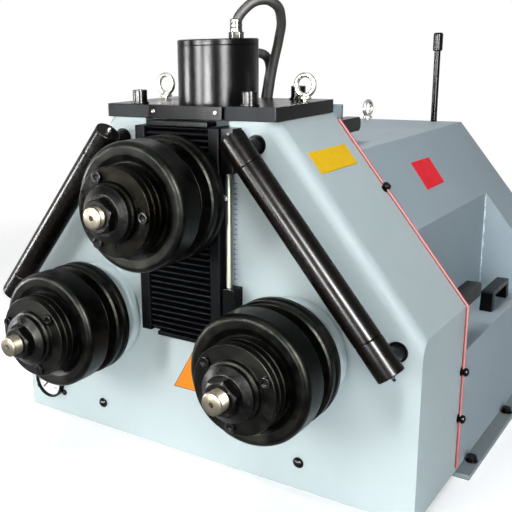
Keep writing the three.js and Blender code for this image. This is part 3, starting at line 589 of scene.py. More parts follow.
@dataclass(frozen=True)
class CoatedCloth(Finish):
    """The bellows' coated cloth, with a fine weave under the coating, and a painted highlight along
    its ridges.
    """

    pitch: float = 0.0123
    # The colour of the painted highlight along each ridge of the folds
    ridge: Colour = (0.03, 0.032, 0.036)

    def dress(self, graph: Graph) -> None:
        """Lays a dull black with a cross weave and lint, and paints a highlight along each ridge.

        Args:
            graph: The material's nodes.
        """
        lint = graph.patches((0.62, 0.74), 0.5, 300.0, 4.0, 0.7)
        cloth = graph.mixed(lint, self.colour, shaded(self.colour, 3.0, 0.003))
        # Painted highlight: a lighter band along each ridge, standing in for the light that the
        # folds catch
        ridge_highlight = graph.ranged(graph.stripes(self.pitch, Axis.Z), (0.86, 1.0))
        graph.colour(graph.mixed(ridge_highlight, cloth, self.ridge))
        graph.plain(Roughness=0.42, Specular_IOR_Level=0.01)
        weave = graph.add("ShaderNodeTexWave")
        weave.bands_direction = "X"
        weave.inputs["Scale"].default_value = 420.0
        weave.inputs["Distortion"].default_value = 0.6
        graph.link(graph.placed(), weave.inputs["Vector"])
        graph.bump(weave.outputs["Fac"], 0.00008, 0.5)


@dataclass(frozen=True)
class Braid(Finish):
    """A hose's woven cover, as diagonal crossing ribs."""

    def dress(self, graph: Graph) -> None:
        """Crosses two diagonal bands under a dusty rubber.

        Args:
            graph: The material's nodes.
        """
        dust = graph.patches((0.4, 0.7), 1.0, 80.0, 5.0, 0.65)
        graph.colour(graph.mixed(dust, self.colour, shaded(self.colour, 1.9, 0.006)))
        graph.plain(Roughness=0.55, Specular_IOR_Level=0.2)
        under: Optional[Socket] = None
        for lean in ((1.0, 1.0, 1.0), (-1.0, -1.0, 1.0)):
            bands = graph.add("ShaderNodeTexWave")
            bands.bands_direction = "DIAGONAL"
            bands.inputs["Scale"].default_value = 130.0
            graph.link(graph.placed(lean), bands.inputs["Vector"])
            under = graph.bump(bands.outputs["Fac"], 0.0003, 0.35, under)


BODY_PAINT = Enamel("body_enamel", "body_paint", (0.56, 0.645, 0.65), coat=0.0, gloss=0.02)
# A bluer, darker copy of the body's enamel; its darkness is painted shade for the hood, which
# stands back from the lamps
HOOD_PAINT_SHADED = Enamel("hood_enamel", "body_paint", (0.41, 0.485, 0.525), 0.48, coat=0.0, gloss=0.03)
BASE_PAINT = Enamel("base_enamel", "body_paint", (0.22, 0.265, 0.28), 0.5, 0.8)
BLACK_PAINT = Enamel(
    "black_enamel", "black_paint", (0.002, 0.0023, 0.0027), 0.2, 0.8, 0.00012, 0.0, 0.05
)
CYLINDER_PAINT = Enamel(
    "cylinder_enamel", "black_paint", (0.0015, 0.0016, 0.0018), 0.17, 0.85, 0.00022, 0.0, 0.065
)
ROLL_BLACK = BlackOxide(
    "roll_black", "black_oxide", (0.0018, 0.002, 0.0018), (0.0065, 0.0062, 0.005), 0.6, 0.3
)
DISC_BLACK = BlackOxide(
    "disc_black", "black_oxide", (0.0005, 0.0005, 0.0004), (0.0024, 0.0022, 0.0014), 0.75, 0.25
)
NUT_BLACK = BlackOxide(
    "nut_black", "black_oxide", (0.0032, 0.0032, 0.0031), (0.0085, 0.0083, 0.0077), 0.5, 0.27
)
SCREW_BLACK = BlackOxide(
    "screw_black", "black_oxide", (0.007, 0.007, 0.0073), (0.014, 0.014, 0.013), roughness=0.16
)
STUB_STEEL = BareSteel("stub_steel", "bare_steel", (0.075, 0.068, 0.053))
ROD_STEEL = BareSteel("rod_steel", "bare_steel", (0.6, 0.58, 0.54), Axis.Z, 0.002, 0.16)
GUIDE_BROWN = Browned("guide_brown", "browned", (0.0018, 0.0013, 0.0008))
ZINC = Plated("zinc_plate", "zinc", (0.33, 0.32, 0.29))
NICKEL = Plated("nickel_plate", "zinc", (0.07, 0.068, 0.06), 0.16)
PLATE_EDGE = Milled("plate_edge", "black_paint", (0.0007, 0.0008, 0.0009))
RAIL_SKIN = Hammered("rail_skin", "black_paint", (0.0025, 0.003, 0.0034), 0.34, 330.0, 0.0004, 0.02)
HANDLE_PLASTIC = Moulded(
    "handle_plastic", "black_plastic", (0.002, 0.002, 0.0022), 0.14, 1400.0, 0.00003, 0.08
)
TRIM_PLASTIC = Moulded(
    "trim_plastic", "black_plastic", (0.002, 0.002, 0.0022), 0.18, 1400.0, 0.00003, 0.08
)
BELLOWS = CoatedCloth("bellows_cloth", "bellows_cloth", (0.0014, 0.0014, 0.0018))
HOSE = Braid("hose_cover", "hose_rubber", (0.014, 0.012, 0.0095))
CORD_RED = Moulded("cord_red", "cord_red", (0.6, 0.01, 0.012), 0.34, gloss=0.05)
CASTING = Hammered("casting", "cast_grey", (0.13, 0.145, 0.155), 0.5, 120.0, 0.0006, 0.5)
YELLOW_PLATE = Moulded(
    "yellow_plate", "body_paint", (0.98, 0.58, 0.004), 0.4, 1400.0, 0.00003, 0.05
)
RED_PLATE = Moulded("red_plate", "body_paint", (0.98, 0.003, 0.022), 0.4, 1400.0, 0.00003, 0.05)
ORANGE_PLATE = Moulded("orange_plate", "body_paint", (0.9, 0.27, 0.01), 0.4, 1400.0, 0.00003, 0.05)
DIAL_WHITE = Moulded("dial_white", "black_plastic", (0.8, 0.81, 0.8), 0.4)
PRINT_BLACK = Moulded("print_black", "black_plastic", (0.01, 0.01, 0.01), 0.5)
SCALE_PLATE = Moulded("scale_plate", "zinc", (0.5, 0.57, 0.6), 0.35)
SCALE_ROD = Plated("scale_rod", "bare_steel", (0.1, 0.105, 0.085), 0.34)
POINTER_WHITE = Moulded("pointer_white", "cast_grey", (0.86, 0.86, 0.8), 0.4)
PRIMER_SPOT = Moulded("primer_spot", "body_paint", (0.72, 0.8, 0.83), 0.3)


# Modelling


def of_kind(items: Iterable, kind: type) -> list:
    """Picks the vertices, edges or faces out of what an operator gives back."""
    return [item for item in items if isinstance(item, kind)]


def spun(mesh: Mesh, geometry: list, axis: Axis, steps: int) -> Mesh:
    """Turns a line or a loop all the way round an axis.

    Args:
        mesh: The mesh that holds it.
        geometry: Its vertices and edges.
        axis: The axis of the turn, through the origin.
        steps: How many steps the turn has.

    Returns:
        The same mesh, merged and facing outwards.
    """
    bmesh.ops.spin(
        mesh, geom=geometry, cent=(0, 0, 0), axis=axis.value, angle=2 * math.pi, steps=steps,
        use_merge=True
    )
    bmesh.ops.remove_doubles(mesh, verts=mesh.verts[:], dist=MERGED)
    bmesh.ops.recalc_face_normals(mesh, faces=mesh.faces[:])
    return mesh


def lathe(profile: Profile, steps: int = FINE, axis: Axis = Axis.Y) -> Mesh:
    """Spins a profile all the way round an axis.

    Args:
        profile: Points as (radius, place along the axis). A profile that doesn't start and end
            on the axis is closed on itself.
        steps: How many steps the turn has.
        axis: The axis of the turn.

    Returns:
        The closed surface, facing outwards.
    """
    mesh = bmesh.new()
    along = Vector(axis.value)
    points = [mesh.verts.new(Vector((radius, 0, 0)) + along * place) for radius, place in profile]
    pairs = list(zip(points, points[1:]))
    if profile[0][0] > 0 or profile[-1][0] > 0:
        pairs.append((points[-1], points[0]))
    return spun(mesh, points + [mesh.edges.new(pair) for pair in pairs], axis, steps)


def drum(radius: float, low: float, high: float, steps: int = SMALL, axis: Axis = Axis.Z) -> Mesh:
    """Makes a plain round piece between two places on its axis."""
    return lathe([(0, low), (radius, low), (radius, high), (0, high)], steps, axis)


def eased(mesh: Mesh, width: float, segments: int = 2, above: float = 35.0) -> Mesh:
    """Rounds the sharp edges of a mesh.

    Args:
        mesh: The mesh, which is changed.
        width: The width of the rounding in millimetres.
        segments: The steps across it.
        above: The least angle between two faces, in degrees, that counts as sharp.

    Returns:
        The same mesh.
    """
    limit = math.radians(above)
    sharp = [
        edge for edge in mesh.edges
        if len(edge.link_faces) == 2 and edge.calc_face_angle(0.0) > limit
    ]
    if sharp:
        bmesh.ops.bevel(
            mesh, geom=sharp, offset=width, offset_type="OFFSET", affect="EDGES", segments=segments,
            profile=0.5, material=-1, clamp_overlap=True
        )
    return mesh


def moved(mesh: Mesh, *steps: Matrix) -> Mesh:
    """Applies transforms to a mesh, the first one first.

    Args:
        mesh: The mesh, which is changed.
        *steps: The transforms.

    Returns:
        The same mesh.
    """
    for step in steps:
        bmesh.ops.transform(mesh, matrix=step, verts=mesh.verts[:])
    return mesh


def shifted(mesh: Mesh, x: float, y: float, z: float) -> Mesh:
    """Moves a mesh by three distances."""
    return moved(mesh, Matrix.Translation((x, y, z)))


def turn(degrees: float, axis: str) -> Matrix:
    """The rotation about one axis, in degrees."""
    return Matrix.Rotation(math.radians(degrees), 4, axis)


def facing(heading: Vector) -> Matrix:
    """The turn that lays the upward direction along a heading."""
    return Vector((0, 0, 1)).rotation_difference(heading).to_matrix().to_4x4()


def spoke(radius: float, degrees: float) -> Point:
    """A point round the Y axis, counted from X towards Z."""
    angle = math.radians(degrees)
    return radius * math.cos(angle), 0.0, radius * math.sin(angle)


def shown(name: str, data: bpy.types.ID) -> Piece:
    """Makes an object of its data and links it to the scene.

    Args:
        name: The object's name.
        data: Its mesh, curve, camera or lamp.

    Returns:
        The object.
    """
    piece = bpy.data.objects.new(name, data)
    bpy.context.scene.collection.objects.link(piece)
    return piece


def together(*meshes: Mesh) -> Mesh:
    """Puts several meshes into the first one and frees the others.

    Args:
        *meshes: The meshes.

    Returns:
        The first mesh, which then holds them all.
    """
    whole = meshes[0]
    for other in meshes[1:]:
        carrier = bpy.data.meshes.new("carrier")
        other.to_mesh(carrier)
        whole.from_mesh(carrier)
        bpy.data.meshes.remove(carrier)
        other.free()
    return whole


def block(low: Point, high: Point, ease: float = 1.0, segments: int = 2) -> Mesh:
    """Makes a box between two corners, with its edges eased.

    Args:
        low: The lowest corner.
        high: The highest corner.
        ease: The width of the rounding.
        segments: The steps across it.

    Returns:
        The box.
    """
    mesh = bmesh.new()
    bmesh.ops.create_cube(mesh, size=1.0)
    size = [b - a for a, b in zip(low, high)]
    middle = [(a + b) / 2 for a, b in zip(low, high)]
    moved(mesh, Matrix.Diagonal((*size, 1.0)), Matrix.Translation(middle))
    return eased(mesh, ease, segments)


def slab(outline: Sequence[Point], reach: Point, ease: float = 1.0, segments: int = 2) -> Mesh:
    """Extrudes a flat outline.

    Args:
        outline: The corners, in order.
        reach: How far, and which way, it is extruded.
        ease: The width of the rounding, or 0 for none.
        segments: The steps across the rounding.

    Returns:
        The closed slab, facing outwards.
    """
    mesh = bmesh.new()
    face = mesh.faces.new([mesh.verts.new(point) for point in outline])
    grown = bmesh.ops.extrude_face_region(mesh, geom=[face], use_keep_orig=True)
    bmesh.ops.translate(mesh, vec=reach, verts=of_kind(grown["geom"], bmesh.types.BMVert))
    bmesh.ops.recalc_face_normals(mesh, faces=mesh.faces[:])
    return eased(mesh, ease, segments) if ease else mesh


def cut_off(mesh: Mesh, place: Point, normal: Point) -> list:
    """Cuts away what lies beyond a plane.

    Args:
        mesh: The mesh, which is left open there.
        place: A point on the plane.
        normal: The way that the plane faces.

    Returns:
        The edges of the opening.
    """
    cut = bmesh.ops.bisect_plane(
        mesh, geom=mesh.verts[:] + mesh.edges[:] + mesh.faces[:], plane_co=place, plane_no=normal,
        clear_outer=True
    )
    return of_kind(cut["geom_cut"], bmesh.types.BMEdge)


def corner_radius(across: float) -> float:
    """The radius to a hexagon's corners, from its width across flats."""
    return across / 2 / math.cos(math.pi / 6)


def socket_head(
    diameter: float, height: float, across: float, depth: float, ease: float = 1.0
) -> Mesh:
    """Makes a socket-head screw's head, standing up from Z = 0, with its hexagon socket.

    Args:
        diameter: The head's diameter.
        height: The head's height.
        across: The socket's width across flats.
        depth: The socket's depth.
        ease: The rounding of the head's top edge.

    Returns:
        The head.
    """
    mesh = bmesh.new()
    corner = corner_radius(across)
    bmesh.ops.create_circle(mesh, segments=6, radius=corner)
    bmesh.ops.subdivide_edges(mesh, edges=mesh.edges[:], cuts=SMALL // 6 - 1)
    bmesh.ops.create_circle(mesh, segments=SMALL, radius=diameter / 2)
    between = (corner + diameter / 2) / 2
    inner = [edge for edge in mesh.edges if edge.verts[0].co.length < between]
    outer = [edge for edge in mesh.edges if edge.verts[0].co.length > between]
    bmesh.ops.bridge_loops(mesh, edges=outer + inner)
    for edges, drop in ((outer, height), (inner, depth)):
        grown = bmesh.ops.extrude_edge_only(mesh, edges=edges)["geom"]
        verts = of_kind(grown, bmesh.types.BMVert)
        bmesh.ops.translate(mesh, vec=(0, 0, -drop), verts=verts)
        rim = [edge for edge in mesh.edges if edge.verts[0] in verts and edge.verts[1] in verts]
        bmesh.ops.contextual_create(mesh, geom=rim)
    bmesh.ops.recalc_face_normals(mesh, faces=mesh.faces[:])
    return shifted(eased(mesh, ease, 2, 50.0), 0, 0, height)


def hexagon_head(across: float, height: float, ease: float = 1.2) -> Mesh:
    """Makes a hexagon head or nut blank standing on Z = 0, with eased corners.

    Args:
        across: Its width across flats.
        height: Its height.
        ease: The rounding of its edges.

    Returns:
        The head.
    """
    mesh = bmesh.new()
    corner = corner_radius(across)
    bmesh.ops.create_cone(
        mesh, cap_ends=True, segments=6, radius1=corner, radius2=corner, depth=height
    )
    return eased(shifted(mesh, 0, 0, height / 2), ease, 2)


def dome(radius: float, height: float) -> Mesh:
    """Makes a domed head standing on Z = 0.

    Args:
        radius: Its radius.
        height: Its height.

    Returns:
        The head.
    """
    steps = 6
    arc = [
        (radius * math.cos(math.pi / 2 * i / steps), height * math.sin(math.pi / 2 * i / steps))
        for i in range(steps)
    ]
    return lathe([(0, 0), *arc, (0, height)], SMALL, Axis.Z)


def lettering(text: str, size: float, align: str, depth: float) -> Mesh:
    """Makes raised lettering that faces the operator.

    Args:
        text: What it says.
        size: The height of its line.
        align: The side of it that lies at the origin.
        depth: Half its thickness.

    Returns:
        The lettering.
    """
    curve = bpy.data.curves.new("number", "FONT")
    curve.body, curve.size, curve.extrude = text, size, depth
    curve.align_x, curve.align_y = align, "CENTER"
    carrier = bpy.data.objects.new("number", curve)
    data = bpy.data.meshes.new_from_object(carrier)
    mesh = bmesh.new()
    mesh.from_mesh(data)
    bpy.data.objects.remove(carrier)
    bpy.data.meshes.remove(data)
    bpy.data.curves.remove(curve)
    return moved(mesh, turn(90, "X"))


# The workshop: where pieces are placed and dressed


@dataclass(frozen=True)
class Datum:
    """Where the machine's own millimetres lie in the row frame."""

    front: float
    floor: float

    @classmethod
    def of_frame(cls) -> "Datum":
        """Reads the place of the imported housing."""
        low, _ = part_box("front_housing")
        return cls(low.y, low.z)

    def to_row(self) -> Matrix:
        """The transform from machine millimetres to row metres."""
        return Matrix.Translation((0, self.front, self.floor)) @ Matrix.Scale(MM, 4)

    def row(self, x: float, y: float, z: float) -> Point:
        """A machine point in row metres."""
        return tuple(self.to_row() @ Vector((x, y, z)))


@dataclass
class Workshop:
    """Places pieces in the frame, and dresses and counts them."""

    datum: Datum
    frame: dict
    pieces: int = 0

    def box(self, node: str) -> tuple[Vector, Vector]:
        """A CAD node's lowest and highest corner, in machine millimetres.

        Args:
            node: The node's name.

        Returns:
            The two corners.
        """
        inverse = self.datum.to_row().inverted()
        low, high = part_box(node)
        return inverse @ low, inverse @ high

    def copied(self, node: str, ease: float) -> Mesh:
        """Copies a CAD node's mesh, joins its loose faces and rounds its edges.

        Args:
            node: The node's name.
            ease: The width of the rounding.

        Returns:
            The copy, in machine millimetres.
        """
        mesh = bmesh.new()
        mesh.from_mesh(self.frame["nodes"][node].data)
        moved(mesh, self.datum.to_row().inverted())
        bmesh.ops.remove_doubles(mesh, verts=mesh.verts[:], dist=JOINED)
        bmesh.ops.dissolve_limit(
            mesh, angle_limit=math.radians(0.5), verts=mesh.verts[:], edges=mesh.edges[:]
        )
        return eased(mesh, ease)

    def put(
        self, name: str, mesh: Mesh, finish: Finish, body: str = "frame",
        stands_for: Iterable[str] = (), centre: Point = (0.0, 0.0, 0.0), smooth_below: float = 40.0
    ) -> Piece:
        """Turns a mesh into a finished piece that rides on a body.

        Args:
            name: The piece's name.
            mesh: Its mesh in machine millimetres, which is freed.
            finish: Its finish.
            body: The CAD body that it moves with.
            stands_for: The CAD nodes that it replaces.
            centre: The point in row metres that its pattern is centred on.
            smooth_below: Edges flatter than this many degrees are shaded smooth.

        Returns:
            The piece.
        """
        moved(mesh, self.datum.to_row())
        for face in mesh.faces:
            face.smooth = True
        for edge in mesh.edges:
            edge.smooth = edge.calc_face_angle(0.0) < math.radians(smooth_below)
        data = bpy.data.meshes.new(name)
        mesh.to_mesh(data)
        mesh.free()
        data.materials.append(finish.material(centre))
        piece = shown(name, data)
        normals = piece.modifiers.new("normals", "WEIGHTED_NORMAL")
        normals.keep_sharp = True
        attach(piece, body)
        if stands_for:
            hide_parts(*stands_for)
        self.pieces += 1
        LOG.info("%s rides on %s: %d faces", name, body, len(data.polygons))
        return piece

    def recast(
        self, name: str, node: str, ease: float, finish: Finish, body: str = "frame"
    ) -> None:
        """Puts an eased copy of a CAD node in its place."""
        self.put(name, self.copied(node, ease), finish, body, [node])

    def strand(
        self, name: str, node: str, route: Sequence[Point], radius: float, finish: Finish,
        curved: bool
    ) -> Piece:
        """Makes a hose or a cord as a curve, in the place of a CAD node.

        Args:
            name: The piece's name.
            node: The CAD node that it stands for.
            route: The points that it runs through, in row metres.
            radius: Its radius in millimetres.
            finish: Its finish.
            curved: Whether it bends smoothly at its points.

        Returns:
            The piece.
        """
        curve = bpy.data.curves.new(name, "CURVE")
        curve.dimensions = "3D"
        curve.bevel_depth = radius * MM
        curve.bevel_resolution = 6 if curved else 4
        curve.resolution_u = 10
        curve.use_fill_caps = True
        if curved:
            knots = curve.splines.new("BEZIER").bezier_points
        else:
            knots = curve.splines.new("POLY").points
        knots.add(len(route) - 1)
        for knot, point in zip(knots, route):
            if curved:
                knot.co = point
                knot.handle_left_type = knot.handle_right_type = "AUTO"
            else:
                knot.co = (*point, 1.0)
        piece = shown(name, curve)
        curve.materials.append(finish.material())
        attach(piece, "frame")
        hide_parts(node)
        self.pieces += 1
        LOG.info("%s rides on frame: %d points", name, len(route))
        return piece

    def dress(self, node: str, finish: Finish) -> None:
        """Gives a CAD node that stays in view its finish.

        Args:
            node: The node's name.
            finish: Its finish.
        """
        data = self.frame["nodes"][node].data
        data.materials.clear()
        data.materials.append(finish.material())

    def joint(self, name: str) -> dict:
        """What the frame says of a joint."""
        return next(joint for joint in self.frame["joints"] if joint["name"] == name)

    def joint_place(self, name: str) -> Vector:
        """The place of a joint, in machine millimetres."""
        return self.datum.to_row().inverted() @ Vector(self.joint(name)["pos_m"])


# Sub-assemblies


@dataclass
class RollSet:
    """One shaft with its two roll discs, retaining disc, collar and nut."""

    shop: Workshop
    word: str
    forward: float
    phase: float
    shoulder: float
    front: float = 288.0
    roll: float = 122.5
    rear_back: float = 50.0
    rear_front: float = 92.0
    front_back: float = 122.0
    front_face: float = 178.0
    sleeve: float = 97.0
    groove: float = 3.0
    dish: float = 8.0
    dish_radius: float = 98.0
    shoulder_round: float = 12.0
    disc: float = 83.0
    hub: float = 55.0
    hub_length: float = 13.0
    ring: float = 14.2
    ring_groove: float = 2.0
    screw_circle: float = 69.7
    screw: float = 12.0
    screw_height: float = 6.0
    socket: float = 10.0
    socket_depth: float = 4.5
    collar: float = 51.7
    collar_rim: float = 7.0
    collar_cone: float = 9.0
    neck: float = 38.0
    nut: float = 60.0
    nut_height: float = 17.0
    bore: float = 41.2
    thread: float = 20.1

    def __post_init__(self) -> None:
        """Works out the stations along the shaft from the sizes."""
        self.axis = self.shop.joint_place(f"{self.word}_roll_spin")
        self.body = f"{self.word}_roll_set"
        self.hub_back = self.front_face - self.dish + SEAT_GAP
        self.disc_face = self.hub_back + 3 * (self.ring + self.ring_groove)
        self.collar_back = self.disc_face + self.hub_length + SEAT_GAP

    def put(self, name: str, mesh: Mesh, finish: Finish, *nodes: str) -> None:
        """Places a piece on the shaft's axis, with its pattern centred there.

        Args:
            name: The piece's name, without the set's.
            mesh: Its mesh, round the Y axis.
            finish: Its finish.
            *nodes: The set's nodes that it stands for.
        """
        shifted(mesh, self.axis.x, 0, self.axis.z)
        self.shop.put(
            f"{self.word}_{name}", mesh, finish, self.body,
            [f"{self.word}_{node}" for node in nodes],
            self.shop.datum.row(self.axis.x, 0, self.axis.z)
        )

    def rear_roll(self) -> Mesh:
        """The rear roll disc, with a worn groove round it and a sleeve in front.

        Returns:
            The disc.
        """
        forward = self.forward
        middle = (self.rear_back + self.rear_front) / 2
        lip = 4.0
        return eased(
            lathe([
                (self.bore, -self.front_back - forward + SEAT_GAP),
                (self.sleeve, -self.front_back - forward + SEAT_GAP),
                (self.sleeve, -self.rear_front), (self.roll - lip, -self.rear_front),
                (self.roll, -self.rear_front + lip), (self.roll, -middle - self.groove - lip),
                (self.roll - self.groove, -middle - 1), (self.roll - self.groove, -middle + 1),
                (self.roll, -middle + self.groove + lip), (self.roll, -self.rear_back - lip),
                (self.roll - lip, -self.rear_back), (self.bore, -self.rear_back)
            ]),
            2.4, 3, 14.0
        )

    def front_roll(self) -> Mesh:
        """The front roll disc, with a rounded shoulder and a dished face.

        Returns:
            The disc.
        """
        back = -self.front_back - self.forward
        face = -self.front_face - self.forward
        steps = 10
        arc = []
        for step in range(steps + 1):
            angle = math.pi / 2 * step / steps
            radius = self.roll - self.shoulder_round * (1 - math.sin(angle))
            arc.append((radius, face + self.shoulder_round * (1 - math.cos(angle))))
        return eased(
            lathe([
                (self.bore, face + self.dish), (self.disc + 3, face + self.dish),
                (self.dish_radius, face + 1.2), *arc, (self.roll, back), (self.bore, back)
            ]),
            1.6, 3, 16.0
        )

    def retaining_disc(self) -> Mesh:
        """Three ringed plates with a hub, and two pin holes on the hub's step.

        Returns:
            The disc.
        """
        face = -self.disc_face - self.forward
        back = -self.hub_back - self.forward
        land = 5.0
        points = [
            (self.bore, face - self.hub_length), (self.hub - land, face - self.hub_length),
            (self.hub - land, face - self.hub_length + 3), (self.hub, face - self.hub_length + 5),
            (self.hub + 1.5, face), (self.disc - 1.2, face), (self.disc, face + 1.2)
        ]
        for count in range(2):
            near = face + count * (self.ring + self.ring_groove)
            points += [
                (self.disc, near + self.ring - 1), (self.disc - self.ring_groove, near + self.ring),
                (self.disc - self.ring_groove, near + self.ring + self.ring_groove - 0.6),
                (self.disc, near + self.ring + self.ring_groove + 0.4)
            ]
        points += [(self.disc, back), (self.bore, back)]
        return eased(lathe(points), 0.5, 2, 28.0)

    def screws(self) -> Mesh:
        """The three socket-head screws in the retaining disc's face, seated in spot faces.

        Returns:
            The screws, as one mesh.
        """
        heads = []
        for count in range(3):
            head = socket_head(
                2 * self.screw - 3, self.screw_height - 0.4, self.socket, self.socket_depth, 0.9
            )
            collar = lathe(
                [
                    (self.screw - 1.0, 0.0), (self.screw, 0.0), (self.screw, 1.4),
                    (self.screw - 1.0, 1.4)
                ],
                SMALL, Axis.Z
            )
            together(head, collar)
            moved(head, turn(90, "X"), turn(17 * count, "Y"))
            x, _, z = spoke(self.screw_circle, self.phase + 120 * count)
            heads.append(shifted(head, x, -self.disc_face - self.forward, z))
        return together(*heads)

    def collar_ring(self) -> Mesh:
        """The bevelled collar under the nut.

        Returns:
            The collar.
        """
        back = -self.collar_back - self.forward
        rim = back - self.collar_rim
        neck = rim - self.collar_cone
        return eased(
            lathe([
                (self.thread + 0.4, neck), (self.neck, neck), (self.collar, rim),
                (self.collar, back), (self.thread + 0.4, back)
            ]),
            0.8, 3, 20.0
        )

    def hexagon(self) -> Mesh:
        """The nut: a hexagon cut back by a cone at its corners, with a bore.

        Returns:
            The nut.
        """
        back = -self.collar_back - self.forward - self.collar_rim - self.collar_cone
        corner = corner_radius(self.nut)
        mesh = lathe(
            [
                (self.thread + 1.6, -self.nut_height), (self.nut / 2 - 1.5, -self.nut_height),
                (corner, -self.nut_height + 4.2), (corner, 0.0), (self.thread + 0.4, 0.0),
                (self.thread + 0.4, -self.nut_height + 1.2)
            ],
            MEDIUM
        )
        for count in range(6):
            normal = turn(60 * count, "Y") @ Vector((1, 0, 0))
            flat = cut_off(mesh, normal * (self.nut / 2), normal)
            bmesh.ops.contextual_create(mesh, geom=flat)
        bmesh.ops.recalc_face_normals(mesh, faces=mesh.faces[:])
        moved(mesh, turn(12, "Y"))
        return shifted(eased(mesh, 0.7, 2, 20.0), 0, back, 0)

    def stub(self) -> Mesh:
        """The shaft, whose threaded end shows bare in front of the nut.

        Returns:
            The shaft.
        """
        step = self.collar_back + self.forward - 3
        nut_front = (
            self.collar_back + self.forward + self.collar_rim + self.collar_cone + self.nut_height
        )
        body, thrust, tail = 40.0, 58.0, 30.0
        tail_length = 60
        chamfer, relief, pitch = 2.2, 1.0, 2.0
        _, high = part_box(f"{self.word}_shaft")
        rear = (high.y - self.shop.datum.front) / MM
        points = [
            (0, -self.front + 8), (1.6, -self.front + 8), (4.6, -self.front),
            (self.thread - chamfer - 1, -self.front), (self.thread - 0.3, -self.front + chamfer)
        ]
        place = -self.front + chamfer + pitch
        while place < -nut_front + 4:
            points += [(self.thread, place), (self.thread - relief, place + pitch / 2)]
            place += pitch
        points += [
            (self.thread, -nut_front + 5), (self.thread, -step), (body, -step),
            (body, -self.rear_back + SEAT_GAP), (thrust, -self.rear_back + SEAT_GAP),
            (thrust, -self.shoulder), (body, -self.shoulder), (body, rear - tail_length),
            (tail, rear - tail_length), (tail, rear), (0, rear)
        ]
        return lathe(points, FINE)

    def build(self) -> None:
        """Makes and places the whole set."""
        disc = DISC_BLACK if self.word == "top" else ROLL_BLACK
        self.put("rear_disc", self.rear_roll(), ROLL_BLACK, "rear_roll")
        self.put("front_disc", self.front_roll(), ROLL_BLACK, "front_roll")
        self.put("clamp_disc", self.retaining_disc(), disc, "retaining_disc")
        self.put("clamp_screws", self.screws(), SCREW_BLACK)
        self.put("collar", self.collar_ring(), NUT_BLACK, "collar_nut")
        self.put("nut", self.hexagon(), NUT_BLACK)
        self.put("stub", self.stub(), STUB_STEEL, "shaft")


@dataclass
class Guide:
    """A slanted guide roller on its two pins, beside one lower roll."""

    shop: Workshop
    side: Side
    radius: float = 26.2
    upper: float = 62.0
    lower: float = 70.0
    gap: float = 0.8
    inset: float = 25.0
    pin: float = 14.5
    front: float = 65.6
    sunk: float = 6.0
    tail: float = 24.0

    def along(self) -> tuple[Vector, Vector, float]:
        """Finds the bar's upper end, its direction and its length.

        Returns:
            The start and the direction in machine millimetres, and the length.
        """
        joint = f"{self.side.word}_sleeve_spin"
        start = self.shop.joint_place(joint)
        heading = Vector(self.shop.joint(joint)["axis"]).normalized()
        low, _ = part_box(f"{self.side.word}_guide_lower_collar")
        height = start.z - (low.z - self.shop.datum.floor) / MM
        drop = height - self.radius * heading.x * self.side.value
        return start, heading, drop / -heading.z

    def nipple(self) -> Mesh:
        """A grease nipple standing on Z = 0: hexagon, neck and ball.

        Returns:
            The nipple.
        """
        neck = lathe(
            [(0, 2.5), (3.0, 2.5), (3.0, 5.0), (2.2, 6.2), (3.2, 7.6), (2.4, 9.4), (0, 9.8)], SMALL,
            Axis.Z
        )
        return together(hexagon_head(9.0, 3.2, 0.5), neck)

    def build(self) -> None:
        """Makes the collars, the sleeve, the pins and the grease nipples."""
        word = self.side.word
        start, heading, length = self.along()
        place = Matrix.Translation(start) @ facing(heading)
        centre = self.shop.datum.row(*start)
        stretches = (
            ("upper_collar", 0.0, self.upper, 2.4, "frame"),
            (
                "sleeve", self.upper + self.gap / 2, length - self.lower - self.gap / 2, 0.8,
                f"{word}_sleeve"
            ),
            ("lower_collar", length - self.lower, length, 2.4, "frame")
        )
        for name, low, high, ease, body in stretches:
            bar = moved(eased(drum(self.radius, low, high, MEDIUM), ease, 3), place)
            self.shop.put(
                f"{word}_bar_{name}", bar, GUIDE_BROWN, body, [f"{word}_guide_{name}"], centre
            )
        top = moved(self.nipple(), turn(180, "X"), place)
        bottom = moved(shifted(self.nipple(), 0, 0, length), place)
        self.shop.put(f"{word}_upper_nipple", top, ZINC)
        self.shop.put(f"{word}_lower_nipple", bottom, SCREW_BLACK)
        for end, at in (("upper", self.inset), ("lower", length - self.inset)):
            spot = start + heading * at
            pin = drum(self.pin, -self.front + self.sunk, self.tail, MEDIUM, Axis.Y)
            rim = lathe(
                [
                    (self.pin, -SEAT_GAP), (self.pin, -4.0), (self.pin + 5, -4.0),
                    (self.pin + 5, -SEAT_GAP)
                ],
                MEDIUM
            )
            pin = together(pin, eased(rim, 0.8, 2))
            self.shop.put(
                f"{word}_{end}_stud", shifted(pin, spot.x, 0, spot.z), NUT_BLACK, "frame",
                [f"{word}_guide_{end}_pin"], centre
            )


